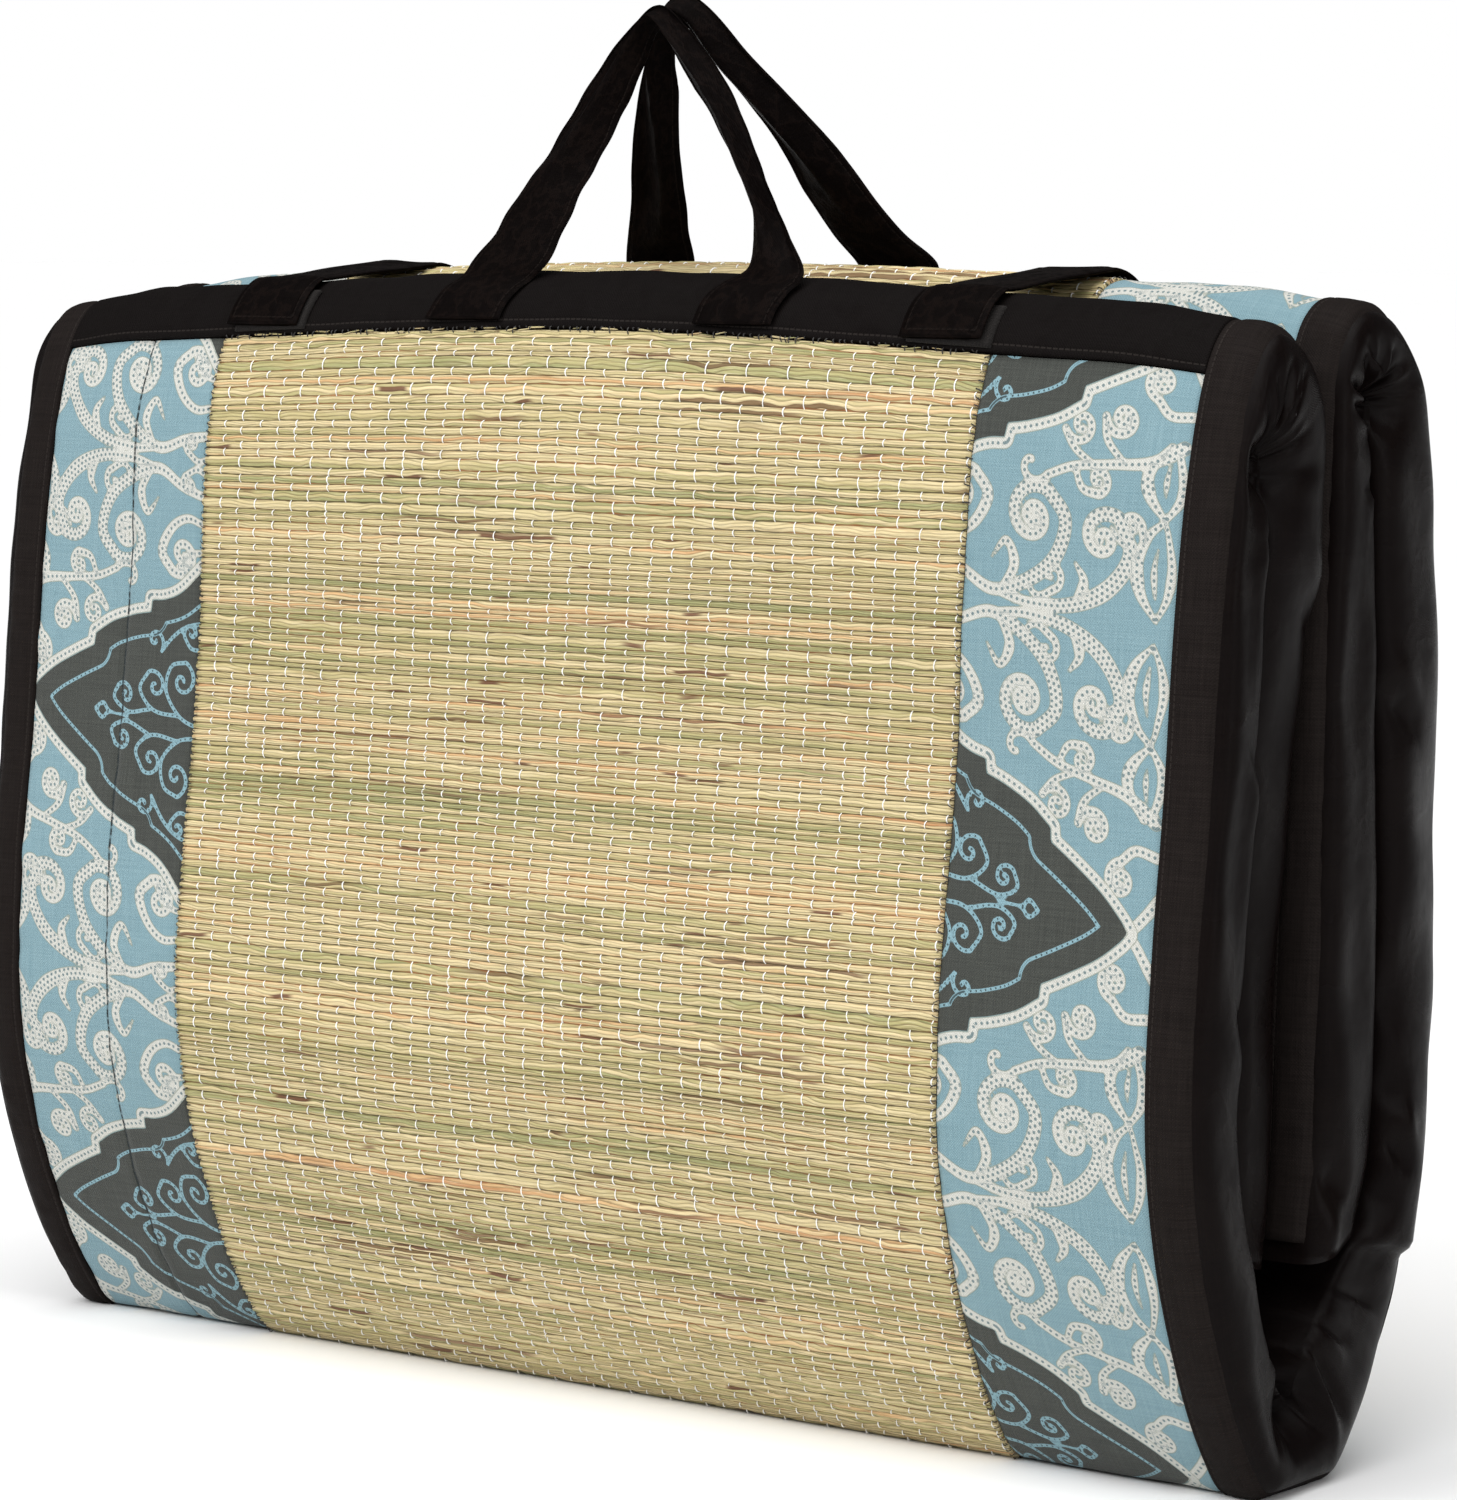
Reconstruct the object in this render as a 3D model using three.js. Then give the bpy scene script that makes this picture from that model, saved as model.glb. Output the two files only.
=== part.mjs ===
// A padded rush mat, folded in four layers into a carrying bundle.
// Millimetres, +Z up. X runs along the mat's width, Y through the folded layers, front at -Y.
// The origin is the middle of the bundle's footprint on the surface that it stands on.
import * as THREE from 'three';

// Driving sizes across the mat's width.
const RUSH_HALF = 186;
const PRINT_OUTER = 276;
const FACE_HALF = 292;
const PAD_HALF = 300;
const EDGE_ROLL = 1;
const PIECE_GAP = 0.3;
const SEAM_GAP = 0.4;

// Thickness of what is sewn on the pad's face.
const RUSH_THICK = 2.0;
const PRINT_THICK = 1.2;
const BORDER_THICK = 2.3;
const BAND_THICK = 2.6;
const WEBBING_THICK = 2.4;
const PATCH_THICK = 1.2;
const FLOOR_HEIGHT = PIECE_GAP + BORDER_THICK;

// The tops of the two folds stand higher in the middle of the width than at its ends.
const FRONT_RISE = 10;
const BACK_RISE = 6.5;
const RISE_START = 320;
const RISE_FULL = 425;
const RISE_DEPTH = 45;

// Near the ends of the width both folds' tops slope off, and the front shoulder turns inwards.
const SLOPE_START = 236;
const SLOPE_END = 296;
const TOP_SLOPE = 6;
const TOP_SLOPE_FROM = 370;
const SHOULDER_TURN = 5.5;
const SHOULDER = { low: 290, high: 395, outerY: -62, innerY: -16 };

// The front half's inner layer is drawn in at its right end, below its fold.
const DRAWN_IN = 15;
const DRAWN_ROWS = { full: 2.2, none: 5.2 };
const DRAWN_FROM = -60;

const STEPS_PER_ROW = 2;
const SHORTEST_STEP = 0.1;

// The folded pad, one row for each section through it, from the end inside the front half
// to the end inside the back half. face is the side that carries the rush, back is the cover.
const PAD_SECTIONS = [
  { name: 'front end', faceY: -13.5, faceZ: 80, backY: -33, backZ: 84 },
  { name: 'front inner layer', faceY: -9, faceZ: 118, backY: -36, backZ: 118 },
  { name: 'front inner layer', faceY: -5.5, faceZ: 178, backY: -37.5, backZ: 178 },
  { name: 'front inner layer', faceY: -3, faceZ: 240, backY: -38.5, backZ: 240 },
  { name: 'front inner layer', faceY: -2.5, faceZ: 300, backY: -39, backZ: 300 },
  { name: 'front inner layer', faceY: -1, faceZ: 345, backY: -39.2, backZ: 345 },
  { name: 'front fold', faceY: 1, faceZ: 378, backY: -39.3, backZ: 364 },
  { name: 'front fold', faceY: -3.5, faceZ: 400, backY: -39.5, backZ: 368.5 },
  { name: 'front fold', faceY: -14, faceZ: 414.5, backY: -39.9, backZ: 370.6 },
  { name: 'front fold', faceY: -30, faceZ: 421, backY: -40.4, backZ: 371.2 },
  { name: 'front fold', faceY: -43.5, faceZ: 412, backY: -40.9, backZ: 370.6 },
  { name: 'front fold', faceY: -53.5, faceZ: 391, backY: -41.4, backZ: 367.5 },
  { name: 'front layer', faceY: -60, faceZ: 362, backY: -41.7, backZ: 357 },
  { name: 'front layer', faceY: -63.5, faceZ: 325, backY: -41.7, backZ: 325 },
  { name: 'front layer', faceY: -66.5, faceZ: 285, backY: -42.5, backZ: 285 },
  { name: 'front layer', faceY: -71, faceZ: 240, backY: -45, backZ: 240 },
  { name: 'front layer', faceY: -76.5, faceZ: 200, backY: -50, backZ: 200 },
  { name: 'front layer', faceY: -80, faceZ: 160, backY: -54, backZ: 160 },
  { name: 'front layer', faceY: -79, faceZ: 122, backY: -52.5, backZ: 122 },
  { name: 'bottom bend', faceY: -71, faceZ: 84, backY: -44, backZ: 92 },
  { name: 'bottom bend', faceY: -57, faceZ: 46, backY: -35, backZ: 66 },
  { name: 'bottom bend', faceY: -42, faceZ: 18, backY: -25, backZ: 47 },
  { name: 'bottom bend', faceY: -28, faceZ: 2, backY: -18, backZ: 37 },
  { name: 'bottom bend', faceY: -8, faceZ: -1, backY: -12, backZ: 35 },
  { name: 'bottom bend', faceY: 12, faceZ: 2, backY: -8, backZ: 41 },
  { name: 'bottom bend', faceY: 28, faceZ: 18, backY: -3, backZ: 52 },
  { name: 'bottom bend', faceY: 42.5, faceZ: 39, backY: 6, backZ: 64 },
  { name: 'bottom bend', faceY: 56, faceZ: 63, backY: 18, backZ: 76 },
  { name: 'back layer', faceY: 63, faceZ: 90, backY: 34, backZ: 95 },
  { name: 'back layer', faceY: 71, faceZ: 125, backY: 41, backZ: 128 },
  { name: 'back layer', faceY: 78, faceZ: 165, backY: 42, backZ: 165 },
  { name: 'back layer', faceY: 79.8, faceZ: 210, backY: 42, backZ: 210 },
  { name: 'back layer', faceY: 80.1, faceZ: 262, backY: 40.5, backZ: 262 },
  { name: 'back layer', faceY: 78.2, faceZ: 312, backY: 38, backZ: 312 },
  { name: 'back layer', faceY: 74.5, faceZ: 355, backY: 36.5, backZ: 355 },
  { name: 'back fold', faceY: 69, faceZ: 385, backY: 35.6, backZ: 383 },
  { name: 'back fold', faceY: 60.5, faceZ: 408, backY: 35, backZ: 389.5 },
  { name: 'back fold', faceY: 46, faceZ: 423.5, backY: 34.2, backZ: 391.5 },
  { name: 'back fold', faceY: 30, faceZ: 427.5, backY: 33.2, backZ: 391.8 },
  { name: 'back fold', faceY: 17, faceZ: 420, backY: 32.4, backZ: 390.8 },
  { name: 'back fold', faceY: 10, faceZ: 404, backY: 31.7, backZ: 387.5 },
  { name: 'back fold', faceY: 7.8, faceZ: 384, backY: 31.4, backZ: 379 },
  { name: 'back inner layer', faceY: 6.5, faceZ: 350, backY: 32.2, backZ: 350 },
  { name: 'back inner layer', faceY: 4.5, faceZ: 300, backY: 33.8, backZ: 300 },
  { name: 'back inner layer', faceY: 3.4, faceZ: 240, backY: 36, backZ: 240 },
  { name: 'back inner layer', faceY: 1.2, faceZ: 180, backY: 37.6, backZ: 180 },
  { name: 'back inner layer', faceY: -2.2, faceZ: 120, backY: 36.5, backZ: 122 },
  { name: 'back end', faceY: -6.6, faceZ: 82, backY: 26, backZ: 90 },
];

// Where the face pieces start and end, as positions along the table above, in rows.
const FRONT_BAND = { from: 8.5, to: 10.5 };
const BACK_BAND = { from: 35.0, to: 37.0 };
const LAST_ROW = PAD_SECTIONS.length - 1;
const SEAM_ROWS = 0.03;
const END_TURN_IN = 0.15;

const COLOURS = {
  cover: 0x1b1412,
  rush: 0xc9b583,
  print: 0x7fa9b8,
  webbing: 0x17110f,
};

function material(colour, roughness) {
  return new THREE.MeshStandardMaterial({ color: colour, roughness, metalness: 0 });
}

const COVER_CLOTH = material(COLOURS.cover, 0.45);
const RUSH_STEMS = material(COLOURS.rush, 0.6);
const PRINTED_COTTON = material(COLOURS.print, 0.8);
const WEBBING = material(COLOURS.webbing, 0.55);

function smoothStep(low, high, value) {
  const t = Math.min(Math.max((value - low) / (high - low), 0), 1);
  return t * t * (3 - 2 * t);
}

// How far the tops of the folds are lifted at a point of the bundle.
function foldRise(x, y, z) {
  const acrossWidth = Math.cos((Math.PI * Math.min(Math.abs(x), PAD_HALF)) / (2 * PAD_HALF)) ** 2;
  const towardsBack = smoothStep(-RISE_DEPTH, RISE_DEPTH, y);
  const rise = FRONT_RISE + (BACK_RISE - FRONT_RISE) * towardsBack;
  return rise * acrossWidth * smoothStep(RISE_START, RISE_FULL, z);
}

// Where a point of the plain folded section comes to rest, for its position across the width.
function lifted(x, y, z, row) {
  const end = smoothStep(SLOPE_START, SLOPE_END, Math.abs(x));
  const slope = TOP_SLOPE * end * smoothStep(TOP_SLOPE_FROM, RISE_FULL, z);
  const outside = 1 - smoothStep(SHOULDER.outerY, SHOULDER.innerY, y);
  const turn = SHOULDER_TURN * end * smoothStep(SHOULDER.low, SHOULDER.high, z) * outside;
  const inEnd = 1 - smoothStep(DRAWN_ROWS.full, DRAWN_ROWS.none, row);
  const drawn = DRAWN_IN * inEnd * smoothStep(DRAWN_FROM, FACE_HALF, x);
  return new THREE.Vector3(x - drawn, y + turn, z + foldRise(x, y, z) - slope);
}

const faceCurve = new THREE.CatmullRomCurve3(
  PAD_SECTIONS.map((row) => new THREE.Vector3(0, row.faceY, row.faceZ)), false, 'catmullrom', 0.5);
const backCurve = new THREE.CatmullRomCurve3(
  PAD_SECTIONS.map((row) => new THREE.Vector3(0, row.backY, row.backZ)), false, 'catmullrom', 0.5);

// A point of the section at a row position, height above the pad's face, kept above the floor.
function facePoint(row, height) {
  const t = row / LAST_ROW;
  const point = faceCurve.getPoint(t);
  const tangent = faceCurve.getTangent(t);
  const y = point.y + tangent.z * height;
  const z = point.z - tangent.y * height;
  return { y, z: Math.max(z, FLOOR_HEIGHT - height) };
}

function backPoint(row) {
  const point = backCurve.getPoint(row / LAST_ROW);
  return { y: point.y, z: point.z };
}

// The row positions at which a piece gets a ring: both its ends and every half row between,
// but none closer to an end than a tenth of a row.
function rowSteps(from, to) {
  const rows = [from];
  const first = Math.ceil((from + SHORTEST_STEP) * STEPS_PER_ROW);
  for (let step = first; step / STEPS_PER_ROW < to - SHORTEST_STEP; step += 1) {
    rows.push(step / STEPS_PER_ROW);
  }
  rows.push(to);
  return rows;
}

// A closed body through rings of points: ring after ring along the piece, capped at both ends.
// A ring runs out over the piece's top and back under it. Both halves are parted into triangles
// along the same diagonals, so a sheet keeps its gap above the face that it lies on.
function ringBody(name, rings, finish) {
  const count = rings[0].length;
  const positions = [];
  const faces = [];
  rings.forEach((ring) => ring.forEach((point) => positions.push(point.x, point.y, point.z)));
  for (let ring = 0; ring < rings.length - 1; ring += 1) {
    for (let i = 0; i < count; i += 1) {
      const next = (i + 1) % count;
      const a = ring * count + i;
      const b = ring * count + next;
      const c = (ring + 1) * count + i;
      const d = (ring + 1) * count + next;
      if (i < count / 2) {
        faces.push(a, b, d, a, d, c);
      } else {
        faces.push(a, b, c, b, d, c);
      }
    }
  }
  // A cap joins each point of one half of the ring to the point facing it on the other half.
  const last = (rings.length - 1) * count;
  for (let i = 0; i < count / 2 - 1; i += 1) {
    const facing = count - 1 - i;
    faces.push(i, facing - 1, i + 1, i, facing, facing - 1);
    faces.push(last + i, last + i + 1, last + facing - 1, last + i, last + facing - 1, last + facing);
  }
  const geometry = new THREE.BufferGeometry();
  geometry.setAttribute('position', new THREE.Float32BufferAttribute(positions, 3));
  geometry.setIndex(faces);
  const mesh = new THREE.Mesh(geometry, finish);
  mesh.name = name;
  if (signedVolume(geometry) < 0) {
    flipFaces(geometry);
  }
  return mesh;
}

function signedVolume(geometry) {
  const index = geometry.getIndex();
  const position = geometry.getAttribute('position');
  const a = new THREE.Vector3();
  const b = new THREE.Vector3();
  const c = new THREE.Vector3();
  let volume = 0;
  for (let i = 0; i < index.count; i += 3) {
    a.fromBufferAttribute(position, index.getX(i));
    b.fromBufferAttribute(position, index.getX(i + 1));
    c.fromBufferAttribute(position, index.getX(i + 2));
    volume += a.dot(b.cross(c)) / 6;
  }
  return volume;
}

function flipFaces(geometry) {
  const index = geometry.getIndex();
  for (let i = 0; i < index.count; i += 3) {
    const second = index.getX(i + 1);
    index.setX(i + 1, index.getX(i + 2));
    index.setX(i + 2, second);
  }
}

// A sheet sewn on the pad's face, between two heights above it and across the given stations.
function faceSheet(name, span, stations, thickness, finish) {
  const rings = rowSteps(span.from, span.to).map((row) => {
    const outer = facePoint(row, PIECE_GAP + thickness);
    const inner = facePoint(row, PIECE_GAP);
    const top = stations.map((x) => lifted(x, outer.y, outer.z, row));
    const under = stations.map((x) => lifted(x, inner.y, inner.z, row)).reverse();
    return [...top, ...under];
  });
  return ringBody(name, rings, finish);
}

// The pad's side walls bulge past its face and back, at these shares of its thickness.
const WALL_SHARES = { high: 0.7, low: 0.3 };

function padBody() {
  const faceStations = [-FACE_HALF, -PRINT_OUTER, -RUSH_HALF, -RUSH_HALF / 2, 0,
    RUSH_HALF / 2, RUSH_HALF, PRINT_OUTER, FACE_HALF];
  const rings = rowSteps(0, LAST_ROW).map((row) => {
    const face = facePoint(row, 0);
    const back = backPoint(row);
    const wall = (side, share) => lifted(side * PAD_HALF,
      back.y + (face.y - back.y) * share, back.z + (face.z - back.z) * share, row);
    const top = faceStations.map((x) => lifted(x, face.y, face.z, row));
    const under = faceStations.map((x) => lifted(x, back.y, back.z, row)).reverse();
    const { high, low } = WALL_SHARES;
    return [wall(-1, high), ...top, wall(1, high), wall(1, low), ...under, wall(-1, low)];
  });
  return ringBody('mat_pad', rings, COVER_CLOTH);
}

const part = new THREE.Group();
part.add(padBody());

// The face of the mat is sewn in three lengths, parted by the two cross bands.
const LENGTHS = [
  { name: 'front_end', from: END_TURN_IN, to: FRONT_BAND.from - SEAM_ROWS },
  { name: 'middle', from: FRONT_BAND.to + SEAM_ROWS, to: BACK_BAND.from - SEAM_ROWS },
  { name: 'back_end', from: BACK_BAND.to + SEAM_ROWS, to: LAST_ROW - END_TURN_IN },
];
const RUSH_STATIONS = [-RUSH_HALF, -RUSH_HALF / 2, 0, RUSH_HALF / 2, RUSH_HALF];
const PRINT_STATIONS = [RUSH_HALF + SEAM_GAP, PRINT_OUTER - SEAM_GAP];
const BORDER_STATIONS = [PRINT_OUTER, FACE_HALF - EDGE_ROLL];
const SIDES = [{ name: 'left', sign: -1 }, { name: 'right', sign: 1 }];

function onSide(stations, sign) {
  return stations.map((x) => x * sign).sort((a, b) => a - b);
}

LENGTHS.forEach((length) => {
  part.add(faceSheet(`rush_panel_${length.name}`, length, RUSH_STATIONS, RUSH_THICK, RUSH_STEMS));
  SIDES.forEach((side) => {
    const stations = onSide(PRINT_STATIONS, side.sign);
    part.add(faceSheet(`print_${side.name}_${length.name}`, length, stations, PRINT_THICK, PRINTED_COTTON));
  });
});

SIDES.forEach((side) => {
  const stations = onSide(BORDER_STATIONS, side.sign);
  const whole = { from: END_TURN_IN, to: LAST_ROW - END_TURN_IN };
  part.add(faceSheet(`border_${side.name}`, whole, stations, BORDER_THICK, COVER_CLOTH));
});

const BAND_EDGE = PRINT_OUTER - SEAM_GAP;
const BAND_STATIONS = [-BAND_EDGE, -RUSH_HALF, -RUSH_HALF / 2, 0, RUSH_HALF / 2, RUSH_HALF, BAND_EDGE];
part.add(faceSheet('band_front', FRONT_BAND, BAND_STATIONS, BAND_THICK, COVER_CLOTH));
part.add(faceSheet('band_back', BACK_BAND, BAND_STATIONS, BAND_THICK, COVER_CLOTH));

// A strap's cross-section: flat, with its long edges rounded off.
function webbingRing(centre, across, through, width, thickness) {
  const outline = [
    { across: -1, through: -0.5 }, { across: -1, through: 0.5 },
    { across: -0.7, through: 1 }, { across: 0.7, through: 1 },
    { across: 1, through: 0.5 }, { across: 1, through: -0.5 },
    { across: 0.7, through: -1 }, { across: -0.7, through: -1 },
  ];
  return outline.map((corner) => centre.clone()
    .addScaledVector(across, (corner.across * width) / 2)
    .addScaledVector(through, (corner.through * thickness) / 2));
}

// The handles' legs, from the first point off the band to the hand hold and down again.
// The webbing is gathered narrower and thicker towards the hand hold; level is 1 where its width
// lies level and 0 where it stands square to its run.
const HANDLES = [
  {
    name: 'handle_front',
    baseRows: [10.4, 10.1, 9.8, 9.55],
    leftX: [-61, -59.5, -57, -53.5],
    rightX: [70, 71, 73, 76],
    baseWidth: 37,
    legs: [
      { x: -48.5, y: -38.5, z: 436, width: 37.5, thickness: 3, level: 1 },
      { x: -42.5, y: -34, z: 447.5, width: 35.5, thickness: 3.5, level: 1 },
      { x: -36.2, y: -29, z: 463.3, width: 33, thickness: 4, level: 0.95 },
      { x: -31, y: -24, z: 476, width: 27, thickness: 4.5, level: 0.9 },
      { x: -24.6, y: -19, z: 490.8, width: 22.5, thickness: 5, level: 0.8 },
      { x: -17.7, y: -15, z: 505, width: 17.5, thickness: 5.5, level: 0.6 },
      { x: -11.5, y: -12, z: 517, width: 12.5, thickness: 6, level: 0.35 },
      { x: -5.5, y: -10, z: 526.5, width: 9, thickness: 6.5, level: 0.1 },
      { x: -0.5, y: -9, z: 531, width: 7, thickness: 7 },
      { x: 4.5, y: -9.5, z: 528.3, width: 8.5, thickness: 6.5, level: 0.1 },
      { x: 9.5, y: -11, z: 523.8, width: 10.8, thickness: 6.5, level: 0.35 },
      { x: 17.6, y: -12.5, z: 516, width: 13.5, thickness: 6.5, level: 0.6 },
      { x: 29.6, y: -15.5, z: 504, width: 15.5, thickness: 6, level: 0.8 },
      { x: 38, y: -17.5, z: 494.5, width: 14.5, thickness: 6, level: 0.9 },
      { x: 48.6, y: -21.5, z: 481.5, width: 13.4, thickness: 6, level: 0.95 },
      { x: 58.5, y: -25.5, z: 469, width: 12.4, thickness: 6, level: 1 },
      { x: 68, y: -30, z: 457.5, width: 13, thickness: 6, level: 1 },
      { x: 75, y: -34.5, z: 446.5, width: 18.5, thickness: 4.5, level: 1 },
      { x: 80, y: -38.5, z: 435.5, width: 27, thickness: 3, level: 1 },
    ],
  },
  {
    name: 'handle_back',
    baseRows: [35.1, 35.6, 36.1, 36.6],
    leftX: [-50, -50, -49.5, -48.5],
    rightX: [70, 70, 70, 70],
    baseWidth: 37,
    legs: [
      { x: -46, y: 51.5, z: 437.5, width: 34.5, thickness: 3, level: 1 },
      { x: -42.5, y: 45.5, z: 447.5, width: 30.5, thickness: 3.5, level: 1 },
      { x: -38, y: 40, z: 460, width: 26.5, thickness: 4, level: 1 },
      { x: -30.2, y: 28.5, z: 482.6, width: 22.5, thickness: 4.5, level: 0.95 },
      { x: -23.5, y: 20, z: 501, width: 18, thickness: 5.5, level: 0.85 },
      { x: -18.2, y: 14, z: 515.5, width: 14.3, thickness: 6, level: 0.6 },
      { x: -13, y: 11, z: 526, width: 12.5, thickness: 6.5, level: 0.3 },
      { x: -5.5, y: 9.5, z: 533.2, width: 11.5, thickness: 7 },
      { x: 3.5, y: 9.8, z: 530, width: 13.5, thickness: 6.5, level: 0.3 },
      { x: 16.5, y: 14, z: 514, width: 17.6, thickness: 6, level: 0.7 },
      { x: 29.5, y: 20.5, z: 498, width: 20.4, thickness: 5.5, level: 0.85 },
      { x: 40.6, y: 28.5, z: 482, width: 23.5, thickness: 5, level: 0.95 },
      { x: 50.8, y: 38, z: 463.3, width: 30, thickness: 4, level: 1 },
      { x: 60.9, y: 46, z: 447.5, width: 34.5, thickness: 3.5, level: 1 },
      { x: 70.5, y: 51.5, z: 436.5, width: 37.5, thickness: 3, level: 1 },
    ],
  },
];
const SEWN_ON_BAND = PIECE_GAP + BAND_THICK + PIECE_GAP;
const HANDLE_STEPS = 2;

function handleBody(handle) {
  const base = (row, x) => {
    const spot = facePoint(row, SEWN_ON_BAND + WEBBING_THICK / 2);
    const at = lifted(x, spot.y, spot.z, row);
    return { x: at.x, y: at.y, z: at.z, width: handle.baseWidth, thickness: WEBBING_THICK, level: 1 };
  };
  const left = handle.baseRows.map((row, i) => base(row, handle.leftX[i]));
  const right = handle.baseRows.map((row, i) => base(row, handle.rightX[i])).reverse();
  const spots = [...left, ...handle.legs, ...right];
  const curve = new THREE.CatmullRomCurve3(
    spots.map((spot) => new THREE.Vector3(spot.x, spot.y, spot.z)), false, 'centripetal');
  const towardsBack = new THREE.Vector3(0, 1, 0);
  const last = (spots.length - 1) * HANDLE_STEPS;
  const rings = [];
  for (let step = 0; step <= last; step += 1) {
    const place = step / HANDLE_STEPS;
    const here = spots[Math.floor(place)];
    const next = spots[Math.min(Math.floor(place) + 1, spots.length - 1)];
    const share = place - Math.floor(place);
    const width = here.width + (next.width - here.width) * share;
    const thickness = here.thickness + (next.thickness - here.thickness) * share;
    const level = (here.level ?? 0) + ((next.level ?? 0) - (here.level ?? 0)) * share;
    const centre = curve.getPoint(step / last);
    const tangent = curve.getTangent(step / last);
    const upwards = tangent.z < 0 ? -1 : 1;
    const free = towardsBack.clone().cross(tangent).normalize();
    const across = free.lerp(new THREE.Vector3(upwards, 0, 0), level).normalize();
    const through = tangent.clone().cross(across).normalize();
    rings.push(webbingRing(centre, across, through, width, thickness));
  }
  return ringBody(handle.name, rings, WEBBING);
}

HANDLES.forEach((handle) => part.add(handleBody(handle)));

// The closing straps are sewn on the back band and lie over both folds to the front band,
// where each front end grips a loop patch.
const STRAP_WIDTH = 37;
const STRAPS = [
  { name: 'left', centre: -164 },
  { name: 'right', centre: 166 },
];
const STRAP_ON_BACK = [35.1, 35.6, 36.1, 36.6, 37.1, 37.6, 38.2];
const STRAP_ON_FRONT = [8.9, 9.3, 9.7, 10.05, 10.4];
const PATCH_ROWS = { from: 9.65, to: 10.46 };
const PATCH_SHIFT = 3;
const CLIMB_END = 9.5;
const STRAP_ON_PATCH = SEWN_ON_BAND + PATCH_THICK + PIECE_GAP;

function strapBody(strap) {
  const heightOnFront = (row) => SEWN_ON_BAND
    + (STRAP_ON_PATCH - SEWN_ON_BAND) * smoothStep(STRAP_ON_FRONT[0], CLIMB_END, row);
  const under = [
    ...STRAP_ON_BACK.map((row) => ({ row, height: SEWN_ON_BAND })),
    ...STRAP_ON_FRONT.map((row) => ({ row, height: heightOnFront(row) })),
  ];
  const edges = [strap.centre - STRAP_WIDTH / 2, strap.centre + STRAP_WIDTH / 2];
  const rings = under.map(({ row, height }) => {
    const low = facePoint(row, height);
    const high = facePoint(row, height + WEBBING_THICK);
    const top = edges.map((x) => lifted(x, high.y, high.z, row));
    const bottom = edges.map((x) => lifted(x, low.y, low.z, row)).reverse();
    return [...top, ...bottom];
  });
  return ringBody(`strap_${strap.name}`, rings, WEBBING);
}

function patchBody(strap) {
  const centre = strap.centre + PATCH_SHIFT;
  const edges = [centre - STRAP_WIDTH / 2, centre + STRAP_WIDTH / 2];
  const rings = rowSteps(PATCH_ROWS.from, PATCH_ROWS.to).map((row) => {
    const low = facePoint(row, SEWN_ON_BAND);
    const high = facePoint(row, SEWN_ON_BAND + PATCH_THICK);
    const top = edges.map((x) => lifted(x, high.y, high.z, row));
    const bottom = edges.map((x) => lifted(x, low.y, low.z, row)).reverse();
    return [...top, ...bottom];
  });
  return ringBody(`loop_patch_${strap.name}`, rings, WEBBING);
}

STRAPS.forEach((strap) => {
  part.add(strapBody(strap));
  part.add(patchBody(strap));
});

export default part;
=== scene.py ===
import math
from functools import partialmethod

import bpy
import numpy as np
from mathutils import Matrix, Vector


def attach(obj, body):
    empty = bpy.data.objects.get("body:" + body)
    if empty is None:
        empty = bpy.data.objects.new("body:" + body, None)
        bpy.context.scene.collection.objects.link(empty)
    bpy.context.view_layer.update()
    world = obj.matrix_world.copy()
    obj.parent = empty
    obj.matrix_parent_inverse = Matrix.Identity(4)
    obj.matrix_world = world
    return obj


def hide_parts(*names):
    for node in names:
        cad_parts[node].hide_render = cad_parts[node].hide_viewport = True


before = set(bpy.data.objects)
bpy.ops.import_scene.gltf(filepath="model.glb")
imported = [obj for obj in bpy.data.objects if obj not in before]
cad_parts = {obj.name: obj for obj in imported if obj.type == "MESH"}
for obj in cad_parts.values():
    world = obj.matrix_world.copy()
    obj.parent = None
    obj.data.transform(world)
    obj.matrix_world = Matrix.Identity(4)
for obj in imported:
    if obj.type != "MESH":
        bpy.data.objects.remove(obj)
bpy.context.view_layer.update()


# Pad. About 40 mm of foam in a polished black cotton cover, sewn with a side wall along each edge
# and folded in four layers: both ends turned in, then the whole doubled. The side wall is cut
# straight, so it bunches into gathers at the inside of every fold.
MM = 0.001
SIDES = {"left": -1, "right": 1}
HALF_WIDTH = 292.0
WALL_BULGE = 8.0
FLOOR_GAP = 2.6

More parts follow.
